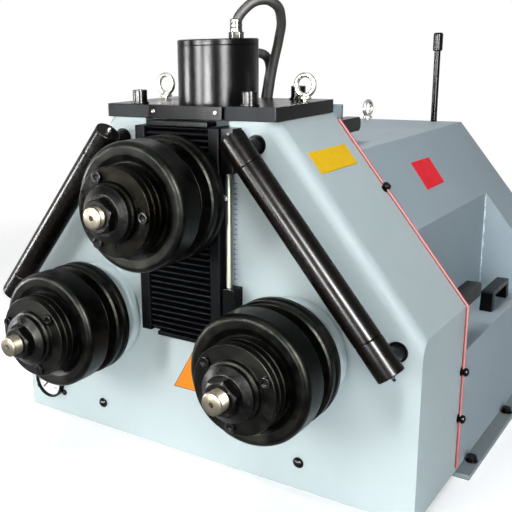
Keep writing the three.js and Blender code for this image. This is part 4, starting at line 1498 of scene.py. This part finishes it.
@dataclass
class Body:
    """The welded front housing on its base, with its fastenings and blank plates."""

    shop: Workshop
    half_width: float = 493.0
    side_height: float = 360.0
    top_half_width: float = 200.0
    height: float = 726.0
    screw_x: float = 256.0
    screw_z: float = 60.0
    screw: float = 10.0
    screw_height: float = 7.0
    screw_washer: float = 11.5
    bolt: float = 19.0
    bolt_height: float = 10.5
    bolt_washer: float = 13.0
    washer_thickness: float = 3.0
    flange_x: float = 508.0
    flange_y: tuple[float, ...] = (303.0, 582.0, 861.0)
    plate: float = 0.7
    yellow: Profile = ((37.3, 669.1), (196.1, 669.1), (196.1, 632.0), (37.3, 632.0))
    red: Profile = ((432.0, 604.0), (544.5, 603.0), (536.0, 550.0), (423.0, 549.0))
    orange_side: float = 104.0
    orange_left: float = -45.0
    orange_base: float = 154.0

    def flange_bolt(self, x: float, y: float) -> Mesh:
        """An anchor bolt's hexagon head on its washer, on the base flange.

        Args:
            x: Its place to the right.
            y: Its place into the machine.

        Returns:
            The bolt with its washer.
        """
        thick = self.washer_thickness
        washer = eased(drum(self.bolt_washer, 0, thick), 0.6)
        head = shifted(hexagon_head(self.bolt, self.bolt_height), 0, 0, thick)
        return shifted(moved(together(washer, head), turn(x + y, "Z")), x, y, -SEAT_GAP)

    @property
    def slope(self) -> float:
        """How far the sloping plane goes outwards for each millimetre down."""
        return (self.half_width - self.top_half_width) / (self.height - self.side_height)

    def on_chamfer(self, y: float, z: float, lift: float = 0.0) -> Vector:
        """A point on the right-hand sloping plane.

        Args:
            y: How far into the machine.
            z: How high.
            lift: How far off the plane.

        Returns:
            The point in machine millimetres.
        """
        x = self.top_half_width + (self.height - z) * self.slope
        normal = Vector((1.0, 0.0, self.slope)).normalized()
        return Vector((x, y, z)) + normal * lift

    def blank_plate(self, corners: Sequence[tuple[float, float]]) -> Mesh:
        """A thin bare plate on the sloping plane.

        Args:
            corners: Its corners as (Y, Z), in order.

        Returns:
            The plate.
        """
        outline = [self.on_chamfer(y, z, 0.1) for y, z in corners]
        normal = (self.on_chamfer(0, 0, 1.0) - self.on_chamfer(0, 0)) * self.plate
        return slab(outline, normal, 0.2, 1)

    def build(self) -> None:
        """Makes the body's pieces."""
        shop = self.shop
        shop.recast("housing", "front_housing", 2.0, BODY_PAINT)
        shop.recast("base", "base_plate", 1.5, BASE_PAINT)
        bolts = [
            self.flange_bolt(side.value * self.flange_x, y) for side in Side for y in self.flange_y
        ]
        shop.put("anchor_bolts", together(*bolts), SCREW_BLACK)
        screws = []
        for side in Side:
            thick = 1.6
            washer = eased(drum(self.screw_washer, 0, thick), 0.4)
            head = shifted(dome(self.screw, self.screw_height), 0, 0, thick)
            screw = moved(together(washer, head), turn(90, "X"))
            screws.append(shifted(screw, side.value * self.screw_x, -SEAT_GAP, self.screw_z))
        shop.put("front_screws", together(*screws), TRIM_PLASTIC)
        shop.put("yellow_plate", self.blank_plate(self.yellow), YELLOW_PLATE)
        shop.put("red_plate", self.blank_plate(self.red), RED_PLATE)
        side, left, base = self.orange_side, self.orange_left, self.orange_base
        outline = [
            (left, -0.1, base), (left + side, -0.1, base),
            (left + side / 2, -0.1, base + side * math.sin(math.pi / 3))
        ]
        shop.put("orange_plate", slab(outline, (0, -self.plate, 0), 0.2, 1), ORANGE_PLATE)
        middle, low, spread = left + side / 2, base + 30, 0.05
        wider = [(x + (x - middle) * spread, -0.05, z + (z - low) * spread) for x, _, z in outline]
        rim = slab(wider, (0, -self.plate * 0.6, 0), 0.0)
        shop.put("orange_rim", rim, PRINT_BLACK)


@dataclass
class Hood:
    """The sheet hood, with its handles, bars, mast and weld."""

    shop: Workshop
    bay_x: float = 383.0
    step_y: float = 732.0
    ledge: float = 262.0
    crease: float = 497.5
    rod: float = 8.0
    knob: float = 12.3
    knob_height: float = 47.0

    def weld(self, side: Side) -> Mesh:
        """The paint-daubed corner weld between the bay and the full-width end.

        Args:
            side: The side of the machine.

        Returns:
            A run of uneven beads, taller than they are wide.
        """
        beads = []
        count = 26
        for index in range(count):
            share = index / (count - 1)
            size = 1.4 + 1.6 * abs(math.sin(index * 2.39)) * abs(math.cos(index * 0.83))
            mesh = bmesh.new()
            bmesh.ops.create_icosphere(mesh, subdivisions=2, radius=size)
            moved(mesh, Matrix.Diagonal((1.0, 1.0, 2.6 + math.sin(index * 1.7), 1.0)))
            height = self.ledge + 6 + (self.crease - self.ledge - 10) * share
            sway = 0.9 * math.sin(index * 1.31)
            beads.append(
                shifted(mesh, side.value * (self.bay_x + 0.6 + sway), self.step_y - 0.8, height)
            )
        return together(*beads)

    def build(self) -> None:
        """Makes the hood's pieces."""
        shop = self.shop
        # The hood's enamel is darkened as painted shade
        shop.recast("hood", "rear_hood", 1.6, HOOD_PAINT_SHADED)
        for side in Side:
            word = side.word
            shop.put(f"{word}_weld", self.weld(side), PRIMER_SPOT)
            shop.recast(f"{word}_handle", f"{word}_hood_handle", 4.0, HANDLE_PLASTIC)
            for level in ("upper", "lower"):
                name = f"{word}_{level}"
                shop.recast(f"{name}_bar", f"{name}_rear_bar", 1.6, BLACK_PAINT)
        self.mast()

    def mast(self) -> None:
        """Makes the mast: a plain rod with a switch knob on top."""
        foot, top = self.shop.box("mast")
        knob_foot = top.z - self.knob_height
        rod = lathe(
            [
                (0, foot.z), (self.rod, foot.z), (self.rod, knob_foot), (self.knob - 2, knob_foot),
                (self.knob, knob_foot + 3), (self.knob, top.z - 4), (self.knob - 3, top.z),
                (0, top.z)
            ],
            MEDIUM, Axis.Z
        )
        piece = shifted(eased(rod, 0.8, 2), (foot.x + top.x) / 2, (foot.y + top.y) / 2, 0)
        self.shop.put("control_mast", piece, TRIM_PLASTIC, stands_for=["mast"])


@dataclass
class Slideway:
    """The rails, the slide between them with its pointer, and the bellows."""

    shop: Workshop
    half_width: float = 74.1
    bottom: float = 287.0
    top: float = 715.0
    slide_bottom: float = 496.0
    slide_top: float = 656.0
    front: float = 34.0
    fold: float = 9.0
    depth: float = 23.0
    pitch: float = 12.3
    ridge: float = 0.8
    ridge_width: float = 0.07
    travel: float = 150.0
    strip_reach: float = 72.0
    strip_front: float = -35.0
    strip_top: float = 725.0

    def bellows(self, low: float, high: float) -> Mesh:
        """Pleated cloth with rounded folds, whose back is flat.

        Args:
            low: The lower end.
            high: The upper end.

        Returns:
            The closed bellows.
        """
        count = max(2, round((high - low) / self.pitch))
        pitch = (high - low) / count
        width = self.half_width
        outline = [(-width, -self.front + self.depth, low), (-width, -self.front + self.fold, low)]
        for index in range(count):
            at = low + pitch * index
            outline += [
                (-width, -self.front, at + pitch * (self.ridge - self.ridge_width)),
                (-width, -self.front, at + pitch * (self.ridge + self.ridge_width)),
                (-width, -self.front + self.fold, at + pitch)
            ]
        outline.append((-width, -self.front + self.depth, high))
        return slab(outline, (2 * width, 0, 0), 0.0)

    def build(self) -> None:
        """Makes the slideway's pieces."""
        shop = self.shop
        for side in Side:
            shop.recast(f"{side.word}_way", f"{side.word}_rail", 1.5, RAIL_SKIN)
        # The pleats' pattern is centred so that the cloth's painted highlight falls on each ridge
        lower = shop.put(
            "lower_pleats", self.bellows(self.bottom, self.slide_bottom - SEAT_GAP), BELLOWS,
            stands_for=["lower_bellows"],
            centre=shop.datum.row(0, 0, self.bottom + 0.3 * self.pitch), smooth_below=20.0
        )
        fixed = shop.datum.row(0, 0, self.bottom)
        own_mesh(lower)
        upper = self.upper_pleats()
        start = shop.datum.row(0, 0, self.top)
        end = shop.datum.row(0, 0, self.slide_top)
        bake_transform(upper)
        shop.recast("slide", "slide_block", 1.2, CASTING, "slide")
        tip = slab(
            [(116.5, -40.6, 581.2), (126.0, -40.6, 585.3), (116.5, -40.6, 589.6)], (0, -1.2, 0),
            0.2, 1
        )
        shop.put("pointer_tip", tip, POINTER_WHITE, "slide")
        shop.recast("end_block", "bellows_end_block", 1.0, RAIL_SKIN)
        reach = self.strip_reach
        low, high = (-reach, self.strip_front, self.top + 1.0), (reach, -0.6, self.strip_top)
        strip = block(low, high, 0.8)
        shop.put("wiper_strip", strip, BLACK_PAINT)

    def upper_pleats(self) -> Piece:
        """Makes the upper bellows, with no parent and no rigid body.

        Returns:
            The bellows.
        """
        # The pleats' pattern is centred so that the cloth's painted highlight falls on each ridge
        piece = self.shop.put(
            "upper_pleats", self.bellows(self.slide_top + SEAT_GAP, self.top - SEAT_GAP), BELLOWS,
            stands_for=["upper_bellows"],
            centre=self.shop.datum.row(0, 0, self.slide_top + 0.3 * self.pitch), smooth_below=20.0
        )
        piece.parent = None
        del piece["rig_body"]
        return piece


@dataclass
class Head:
    """The top plate with its bolts, cover, lifting eyes, cylinder and hoses."""

    shop: Workshop
    bottom: float = 726.3
    top: float = 753.3
    bolt_x: float = 131.5
    bolt_y: tuple[float, float] = (23.0, 216.0)
    bolt: float = 30.0
    bolt_height: float = 24.0
    bolt_foot: float = 15.8
    bolt_foot_top: float = 5.4
    socket: float = 14.0
    socket_depth: float = 12.0
    washer: float = 18.5
    washer_thickness: float = 3.0
    cylinder_y: float = 116.6
    cylinder: float = 82.4
    eye_ring: float = 20.0
    eye_wire: float = 5.0
    eye_foot: float = 11.0
    eye_x: float = 172.0
    eye_y: float = 167.0
    eye_turn: float = -3.0
    hood_eye: Point = (0.0, 890.0, 652.0)
    hood_eye_turn: float = 83.0
    milled_x: tuple[float, float] = (88.5, 199.0)
    cover_screw: Point = (74.0, -8.0, 741.0)
    hose: float = 10.0
    hose_slack: float = 1.012
    roof: float = 652.3
    cap: float = 877.6

    def plate(self) -> Mesh:
        """The plate alone, cut level below its bolts.

        Returns:
            The plate.
        """
        mesh = self.shop.copied("top_plate", 0.0)
        bmesh.ops.holes_fill(mesh, edges=cut_off(mesh, (0, 0, self.top - 0.05), (0, 0, 1)))
        bmesh.ops.recalc_face_normals(mesh, faces=mesh.faces[:])
        return mesh

    def bolts(self) -> Mesh:
        """The four tall socket-head bolts on their washers.

        Returns:
            The bolts, as one mesh.
        """
        heads = []
        for side in Side:
            for y in self.bolt_y:
                thick, step = self.washer_thickness, self.bolt_foot_top
                washer = eased(drum(self.washer, 0, thick, MEDIUM), 0.6)
                head = socket_head(self.bolt, self.bolt_height, self.socket, self.socket_depth, 1.4)
                shifted(head, 0, 0, thick)
                foot = eased(drum(self.bolt_foot, thick, step, MEDIUM), 0.5)
                bolt = together(washer, head, foot)
                heads.append(shifted(bolt, side.value * self.bolt_x, y, self.top))
        return together(*heads)

    def eye(self, x: float, y: float, seat: float, angle: float) -> Mesh:
        """A forged lifting eye: ring, throat and collar.

        Args:
            x: Its place to the right.
            y: Its place into the machine.
            seat: The height that it stands on.
            angle: How far it is turned, in degrees.

        Returns:
            The eye.
        """
        ring = bmesh.new()
        bmesh.ops.create_circle(ring, segments=SMALL, radius=self.eye_wire)
        moved(ring, turn(90, "X"), Matrix.Translation((self.eye_ring, 0, 0)))
        spun(ring, ring.verts[:] + ring.edges[:], Axis.Z, MEDIUM)
        moved(ring, turn(90, "X"))
        shifted(ring, 0, 0, self.eye_foot + self.eye_ring)
        foot = lathe(
            [
                (0, 0), (4.9, 0), (4.9, 3.1), (11.4, 3.1), (12.6, 4.0), (13.0, 5.6), (12.6, 7.6),
                (10.6, 9.4), (8.4, 10.8), (7.4, 13.4), (0, 14.4)
            ],
            MEDIUM, Axis.Z
        )
        return shifted(moved(together(ring, foot), turn(angle, "Z")), x, y, seat + SEAT_GAP)

    def cylinder_shell(self) -> Mesh:
        """The cylinder's tube, with a groove below its upper end.

        Returns:
            The tube.
        """
        low, high = self.shop.box("cylinder")
        foot, top = low.z, high.z
        tube = lathe(
            [
                (0, foot), (self.cylinder, foot), (self.cylinder, top - 12.5),
                (self.cylinder - 1.2, top - 12.2), (self.cylinder - 1.2, top - 11.4),
                (self.cylinder, top - 11.0), (self.cylinder, top - 2.0), (self.cylinder - 2.5, top),
                (0, top)
            ],
            FINE, Axis.Z
        )
        return shifted(eased(tube, 0.5, 2, 30.0), 0, self.cylinder_y, 0)

    def route(self, points: Sequence[Point], name: str) -> None:
        """Args:
            points: The route in machine millimetres, both ends in the object.
            name: The name of the CAD node that it stands for.
        """
        row = [self.shop.datum.row(*point) for point in points]
        piece = self.shop.strand(f"{name}_line", name, row, self.hose, HOSE, True)

    def ferrule(self, at: Point, heading: Point) -> Mesh:
        """A crimped hose end with its union nut, pointing along a heading.

        Args:
            at: Where the fitting meets the object.
            heading: The way that the hose leaves.

        Returns:
            The fitting.
        """
        sleeve = lathe(
            [
                (0, 12.0), (11.6, 12.0), (12.4, 13.5), (12.4, 20.0), (11.4, 21.0), (12.4, 22.0),
                (12.4, 28.0), (11.4, 29.0), (12.4, 30.0), (12.4, 36.0), (10.4, 38.0), (0, 38.0)
            ],
            MEDIUM, Axis.Z
        )
        fitting = together(hexagon_head(27.0, 12.5, 1.2), eased(sleeve, 0.4))
        return shifted(moved(fitting, facing(Vector(heading))), *at)

    def build(self) -> None:
        """Makes the head's pieces."""
        shop = self.shop
        shop.put("crown_plate", eased(self.plate(), 1.2), BLACK_PAINT, stands_for=["top_plate"])
        for side in Side:
            near, far = sorted(side.value * x for x in self.milled_x)
            edge = block((near, -0.35, self.bottom + 1.0), (far, 0.6, self.top - 1.0), 0.2, 1)
            shop.put(f"{side.word}_milled_edge", edge, PLATE_EDGE)
        shop.put("crown_bolts", self.bolts(), SCREW_BLACK)
        shop.recast("cover_plate", "slideway_cover", 1.0, BLACK_PAINT)
        screws = []
        x, y, z = self.cover_screw
        for side in Side:
            head = moved(socket_head(8.0, 2.4, 4.0, 1.6, 0.4), turn(90, "X"))
            screws.append(shifted(head, side.value * x, y, z))
        shop.put("cover_screws", together(*screws), NICKEL)
        shop.put("ram", self.cylinder_shell(), CYLINDER_PAINT, stands_for=["cylinder"])
        for side in Side:
            eye = self.eye(side.value * self.eye_x, self.eye_y, self.top, self.eye_turn)
            shop.put(f"{side.word}_eye", eye, ZINC, stands_for=[f"{side.word}_eye_bolt"])
        eye = self.eye(*self.hood_eye, self.hood_eye_turn)
        shop.put("hood_eye", eye, ZINC, stands_for=["hood_eye_bolt"])
        self.hoses()

    def hoses(self) -> None:
        """Makes the two hoses with their fittings."""
        roof, cap = self.roof, self.cap
        side = self.cylinder_y + self.cylinder + SEAT_GAP
        pressure = [
            (36, 256, roof), (36, 256, 684), (37, 253, 730), (46, 248, 780), (59, 242, 828),
            (75, 234, 874), (90, 216, 914), (92, 188, 942), (74, 158, 950), (50, 137, 932),
            (36, 129, 906), (36, 129, cap)
        ]
        back = [
            (1, 300, roof), (1, 300, 684), (4, 300, 740), (13, 298, 785), (22, 290, 818),
            (22, 272, 840), (12, 248, 847), (2, 226, 843), (0, 212, 842), (0, side, 842)
        ]
        self.route(pressure, "pressure_hose")
        self.route(back, "return_hose")
        fittings = [
            self.ferrule((36, 256, roof), (0, 0, 1)), self.ferrule((36, 129, cap), (0, 0, 1)),
            self.ferrule((1, 300, roof), (0, 0, 1))
        ]
        self.shop.put("hose_fittings", together(*fittings), NICKEL)


@dataclass
class HeightScale:
    """The bright rod between two black blocks, and the scale plate beside it."""

    shop: Workshop
    inner: float = 102.0
    outer: float = 128.5
    depth: float = 34.0
    lower: tuple[float, float] = (300.0, 405.0)
    upper: tuple[float, float] = (631.0, 715.0)
    rod_x: float = 108.5
    rod_y: float = -18.0
    rod: float = 6.3
    plate_x: tuple[float, float] = (103.5, 123.0)
    plate_z: tuple[float, float] = (406.5, 629.5)
    zero: float = 408.0
    step: float = 10.0
    ticks: int = 20
    number: float = 5.4
    number_x: float = 108.0

    def build(self) -> None:
        """Makes the blocks, the rod, the plate, its ticks and its numbers."""
        shop = self.shop
        ends = [
            block((self.inner, -self.depth, low), (self.outer, -SEAT_GAP, high), 1.2)
            for low, high in (self.lower, self.upper)
        ]
        shop.put("scale_blocks", together(*ends), BLACK_PAINT, stands_for=["height_scale"])
        rod = drum(self.rod, self.lower[1], self.upper[0], MEDIUM)
        shop.put("scale_bar", shifted(rod, self.rod_x, self.rod_y, 0), SCALE_ROD)
        plate = block(
            (self.plate_x[0], -0.9, self.plate_z[0]), (self.plate_x[1], -0.1, self.plate_z[1]), 0.3
        )
        shop.put("scale_plate", plate, SCALE_PLATE)
        marks = []
        for index in range(2 * self.ticks + 1):
            z = self.zero + index * self.step / 2
            long = index % 2 == 0
            marks.append(
                block(
                    (114.5 if long else 116.5, -1.05, z - 0.45), (118.0, -0.85, z + 0.45), 0.05, 1
                )
            )
        shop.put("scale_ticks", together(*marks), PRINT_BLACK)
        self.numbers()

    def numbers(self) -> None:
        """Makes the plain number beside every second tick, from 0 upwards."""
        joined = []
        for index in range(self.ticks + 1):
            mesh = lettering(str(index * 10), self.number, "LEFT", 0.06)
            joined.append(shifted(mesh, self.number_x, -1.0, self.zero + index * self.step))
        self.shop.put("scale_numbers", together(*joined), PRINT_BLACK)


@dataclass
class Gauge:
    """The round pressure gauge at the lower left of the front plate."""

    shop: Workshop
    radius: float = 43.0
    depth: float = 14.0
    rim: float = 5.0
    recess: float = 8.0
    lug_circle: float = 49.0
    lug: float = 7.0
    ticks: int = 40
    number: float = 7.0

    def build(self) -> None:
        """Makes the case, the dial, its marks and the needle."""
        shop = self.shop
        place = shop.joint_place("needle_turn")
        case = eased(
            lathe(
                [
                    (0, -SEAT_GAP), (self.radius, -SEAT_GAP), (self.radius, -self.depth + 3),
                    (self.radius - 2, -self.depth), (self.radius - self.rim, -self.depth),
                    (self.radius - self.rim - 0.6, -self.depth + self.recess),
                    (0, -self.depth + self.recess)
                ],
                FINE
            ),
            0.7, 2, 25.0
        )
        lugs = []
        for degrees in (90, 210, 330):
            ear = eased(drum(self.lug, -SEAT_GAP, -4, SMALL, Axis.Y), 0.6)
            head = shifted(moved(dome(4.4, 3.0), turn(90, "X")), 0, -4, 0)
            lugs.append(shifted(together(ear, head), *spoke(self.lug_circle, degrees)))
        whole = shifted(together(case, *lugs), place.x, 0, place.z)
        shop.put("gauge", whole, TRIM_PLASTIC, stands_for=["gauge_case"])
        face = -self.depth + self.recess
        dial = drum(self.radius - self.rim - 0.8, face - 0.1, face - 0.5, FINE, Axis.Y)
        shop.put("gauge_dial", shifted(dial, place.x, 0, place.z), DIAL_WHITE)
        self.marks(place, face - 0.55)
        shop.recast("needle", "gauge_needle", 0.3, PRINT_BLACK, "needle")

    def marks(self, place: Vector, face: float) -> None:
        """Prints the dial's ticks and plain numbers.

        Args:
            place: The dial's centre.
            face: The depth of the print.
        """
        sweep, start, outer = 270.0, -135.0, self.radius - self.rim - 3.0
        marks = []
        for index in range(self.ticks + 1):
            long = index % 5 == 0
            tick = block(
                (-0.45 if long else -0.25, face, outer - (5.0 if long else 3.0)),
                (0.45 if long else 0.25, face + 0.1, outer), 0.03, 1
            )
            angle = start + sweep * index / self.ticks
            marks.append(moved(tick, turn(angle, "Y")))
        for index in range(0, 9, 2):
            mesh = lettering(str(index * 50), self.number, "CENTER", 0.05)
            angle = math.radians(start + sweep * index / 8)
            reach = outer - 11.0
            marks.append(
                shifted(mesh, reach * math.sin(angle), face + 0.05, reach * math.cos(angle))
            )
        self.shop.put("gauge_print", shifted(together(*marks), place.x, 0, place.z), PRINT_BLACK)


@dataclass
class SafetyCord:
    """The red cord down the body's rear edge, in its black eyelets."""

    shop: Workshop
    body: Body
    away: float = 3.8
    radius: float = 3.0
    y: float = 235.4
    ends: float = 12.0
    eyelets: tuple[tuple[float, float, float], ...] = (
        (317.0, 578.0, 38.7), (493.0, 225.0, 90.0), (493.0, 123.0, 90.0)
    )

    def build(self) -> None:
        """Makes the cord and its eyelets."""
        body = self.body
        lean = math.atan(body.slope)
        side = body.half_width + self.away
        bend = body.side_height + self.away * math.tan(lean / 2)
        top = body.height - self.ends
        points = [(side + (bend - top) * body.slope, top), (side, bend), (side, self.ends)]
        route = [self.shop.datum.row(x, self.y, z) for x, z in points]
        piece = self.shop.strand("red_cord", "safety_cord", route, self.radius, CORD_RED, False)
        balls = []
        for x, z, angle in self.eyelets:
            outward = Vector((math.sin(math.radians(angle)), 0, math.cos(math.radians(angle))))
            eyelet = lathe(
                [
                    (0, 0), (9.6, 0), (9.6, 2.2), (5.8, 3.4), (6.2, 5.2), (8.7, 7.4), (9.2, 9.8),
                    (7.6, 13.2), (3.5, 15.0), (0, 15.2)
                ],
                SMALL, Axis.Z
            )
            balls.append(shifted(moved(eyelet, facing(outward)), x, self.y - 1.0, z))
        self.shop.put("cord_eyelets", together(*balls), TRIM_PLASTIC)


@dataclass
class Inside:
    """The painted bearing bosses behind the lower rolls, and the drive under the hood."""

    shop: Workshop
    boss: float = 111.0
    thickness: float = 24.0
    edge: float = 6.0
    cartridge: float = 62.0
    length: float = 150.0
    bore: float = 41.2

    def bearing(self, side: Side) -> None:
        """Makes one bearing cartridge with its thick round flange.

        Args:
            side: The side of the machine.
        """
        word = side.word
        place = self.shop.joint_place(f"{word}_roll_spin")
        housing = eased(
            lathe([
                (self.bore, -self.thickness), (self.boss, -self.thickness), (self.boss, -SEAT_GAP),
                (self.cartridge, -SEAT_GAP), (self.cartridge, self.length), (self.bore, self.length)
            ]),
            self.edge, 5
        )
        self.shop.put(
            f"{word}_bearing_boss", shifted(housing, place.x, 0, place.z), BODY_PAINT,
            stands_for=[f"{word}_bearing"]
        )

    def build(self) -> None:
        """Makes the bearings and dresses what stays under the hood."""
        for side in Side:
            self.bearing(side)
        for node in ("left_gear_motor", "right_gear_motor", "top_gear_motor", "power_pack"):
            self.shop.dress(node, CASTING)
        self.shop.dress("piston_rod", ROD_STEEL)


# Studio


@dataclass
class Studio:
    """The camera, the lamps, the world and the floor."""

    place: Point = (0.9184, -1.7478, 0.8748)
    yaw: float = 36.087
    pitch: float = 14.713
    roll: float = -1.390
    lens: float = 56.156
    shift: tuple[float, float] = (0.14498, 0.0022)
    ambient: float = 0.1
    tint: Colour = (0.93, 0.98, 1.04)
    floor_lift: float = 0.4
    lamps: tuple = (
        ("key", (-1.1, -3.1, 1.1), (0.18, 1.3), 46.0), ("fill", (0.6, -3.3, 1.0), (0.5, 0.5), 12.0),
        ("side", (2.4, -2.3, 1.0), (0.16, 1.4), 31.0, (0.87, 0.96, 1.04)),
        ("top", (-0.2, -0.6, 3.0), (2.0, 1.4), 25.0), ("high", (0.1, -1.7, 2.7), (1.0, 0.4), 30.0)
    )
    sheens: tuple = (
        ("left_sheen", (-1.15, -3.1, 0.95), (0.5, 1.3), 400.0),
        ("right_sheen", (2.4, -2.3, 0.95), (0.5, 1.3), 440.0),
        ("front_sheen", (0.6, -3.3, 1.05), (0.6, 0.3), 14.0),
        ("low_bar_sheen", (0.15, -3.3, 0.66), (0.6, 0.35), 330.0, WHITE, -33.0),
        ("high_bar_sheen", (2.3, -2.7, 2.05), (0.9, 0.45), 950.0, WHITE, -33.0),
        ("far_bar_sheen", (-3.0, -1.75, 0.5), (0.35, 0.9), 200.0)
    )

    def camera(self) -> None:
        """Sets the camera where the photograph was taken from."""
        yaw, pitch, roll = (math.radians(a) for a in (self.yaw, self.pitch, self.roll))
        forward = Vector((
            -math.sin(yaw) * math.cos(pitch), math.cos(yaw) * math.cos(pitch), -math.sin(pitch)
        ))
        level = Vector((math.cos(yaw), math.sin(yaw), 0))
        upright = level.cross(forward)
        right = math.cos(roll) * level + math.sin(roll) * upright
        up = -math.sin(roll) * level + math.cos(roll) * upright
        data = bpy.data.cameras.new("camera")
        data.lens = self.lens
        data.sensor_width = 36.0
        data.shift_x, data.shift_y = self.shift
        camera = shown("camera", data)
        turned = Matrix((right, up, -forward)).transposed().to_4x4()
        camera.matrix_world = Matrix.Translation(self.place) @ turned
        bpy.context.scene.camera = camera

    def lamp(
        self, name: str, place: Point, size: tuple[float, float], watts: float,
        tint: Colour = WHITE, lean: float = 0.0
    ) -> Piece:
        """Hangs one soft box, facing the middle of the machine.

        Args:
            name: Its name.
            place: Where it hangs, in metres.
            size: Its width and height.
            watts: Its power.
            tint: Its colour.
            lean: How far it is turned about the way it shines, in degrees.

        Returns:
            The lamp.
        """
        data = bpy.data.lights.new(name, "AREA")
        data.shape = "RECTANGLE"
        data.size, data.size_y = size
        data.energy = watts
        data.color = tint
        lamp = shown(name, data)
        aim = Vector((0.0, -0.2, 0.4)) - Vector(place)
        aimed = aim.to_track_quat("-Z", "Y").to_matrix().to_4x4()
        lamp.matrix_world = Matrix.Translation(place) @ aimed @ turn(lean, "Z")
        return lamp

    def world(self) -> None:
        """Lights evenly, and shows white to the camera and to reflections."""
        world = bpy.data.worlds.new("studio")
        bpy.context.scene.world = world
        world.use_nodes = True
        tree = world.node_tree
        tree.nodes.clear()
        path = tree.nodes.new("ShaderNodeLightPath")
        shown_white = path.outputs["Is Camera Ray"]
        for ray in ("Is Transmission Ray", "Is Glossy Ray"):
            either = tree.nodes.new("ShaderNodeMath")
            either.operation = "MAXIMUM"
            tree.links.new(shown_white, either.inputs[0])
            tree.links.new(path.outputs[ray], either.inputs[1])
            shown_white = either.outputs[0]
        strength = tree.nodes.new("ShaderNodeMapRange")
        strength.inputs["To Min"].default_value = self.ambient
        strength.inputs["To Max"].default_value = 1.0
        tree.links.new(shown_white, strength.inputs["Value"])
        background = tree.nodes.new("ShaderNodeBackground")
        tree.links.new(strength.outputs["Result"], background.inputs["Strength"])
        tone = tree.nodes.new("ShaderNodeMix")
        tone.data_type = "RGBA"
        tree.links.new(shown_white, tone.inputs["Factor"])
        tone.inputs[FIRST].default_value = (*self.tint, 1.0)
        tone.inputs[SECOND].default_value = (*WHITE, 1.0)
        tree.links.new(tone.outputs[RESULT], background.inputs["Color"])
        output = tree.nodes.new("ShaderNodeOutputWorld")
        tree.links.new(background.outputs["Background"], output.inputs["Surface"])

    def floor(self) -> None:
        """Lays a plain white floor that keeps the machine's shadow and ends in white."""
        mesh = bmesh.new()
        bmesh.ops.create_grid(mesh, x_segments=1, y_segments=1, size=14.0)
        data = bpy.data.meshes.new("floor")
        mesh.to_mesh(data)
        mesh.free()
        graph = Graph("floor_white")
        share = graph.patches((0.3, 0.7), 1.0, 2.0)
        graph.colour(graph.mixed(share, (0.93, 0.93, 0.93), (0.915, 0.915, 0.915)))
        graph.plain(Roughness=0.9, Specular_IOR_Level=0.1, Emission_Color=(*WHITE, 1.0))
        seen = graph.add("ShaderNodeLightPath").outputs["Is Camera Ray"]
        lift = graph.ranged(seen, (0.0, 1.0), (0.0, self.floor_lift))
        graph.link(lift, graph.shader.inputs["Emission Strength"])
        reach = graph.add("ShaderNodeVectorMath")
        reach.operation = "LENGTH"
        graph.link(graph.placed(), reach.inputs[0])
        fade = graph.ranged(reach.outputs["Value"], (1.3, 2.6))
        graph.faded(fade)
        data.materials.append(graph.material)
        floor = shown("floor", data)

    def build(self) -> None:
        """Sets up the studio."""
        self.camera()
        for lamp in self.lamps:
            self.lamp(*lamp)
        # The sheens show in reflections only: the long highlights on the black parts
        for sheen in self.sheens:
            self.lamp(*sheen).visible_diffuse = False
        self.world()
        self.floor()
        bpy.context.scene.view_settings.view_transform = "Standard"


def main() -> None:
    """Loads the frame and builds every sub-assembly."""
    logging.basicConfig(level=logging.INFO, format="%(name)s: %(message)s")
    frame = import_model()
    Studio().build()
    shop = Workshop(Datum.of_frame(), frame)
    body = Body(shop)
    sets = (
        RollSet(shop, "left", forward=0.0, phase=42.6, shoulder=24.6),
        RollSet(shop, "right", forward=0.0, phase=24.7, shoulder=24.6),
        RollSet(shop, "top", forward=11.0, phase=-2.0, shoulder=36.6)
    )
    parts = [SafetyCord(shop, body), Head(shop), body, Hood(shop), *sets]
    parts += [Guide(shop, side) for side in Side]
    parts += [Slideway(shop), HeightScale(shop), Gauge(shop), Inside(shop)]
    for part in parts:
        part.build()
    LOG.info("%d pieces", shop.pieces)


if __name__ == "__main__":
    main()
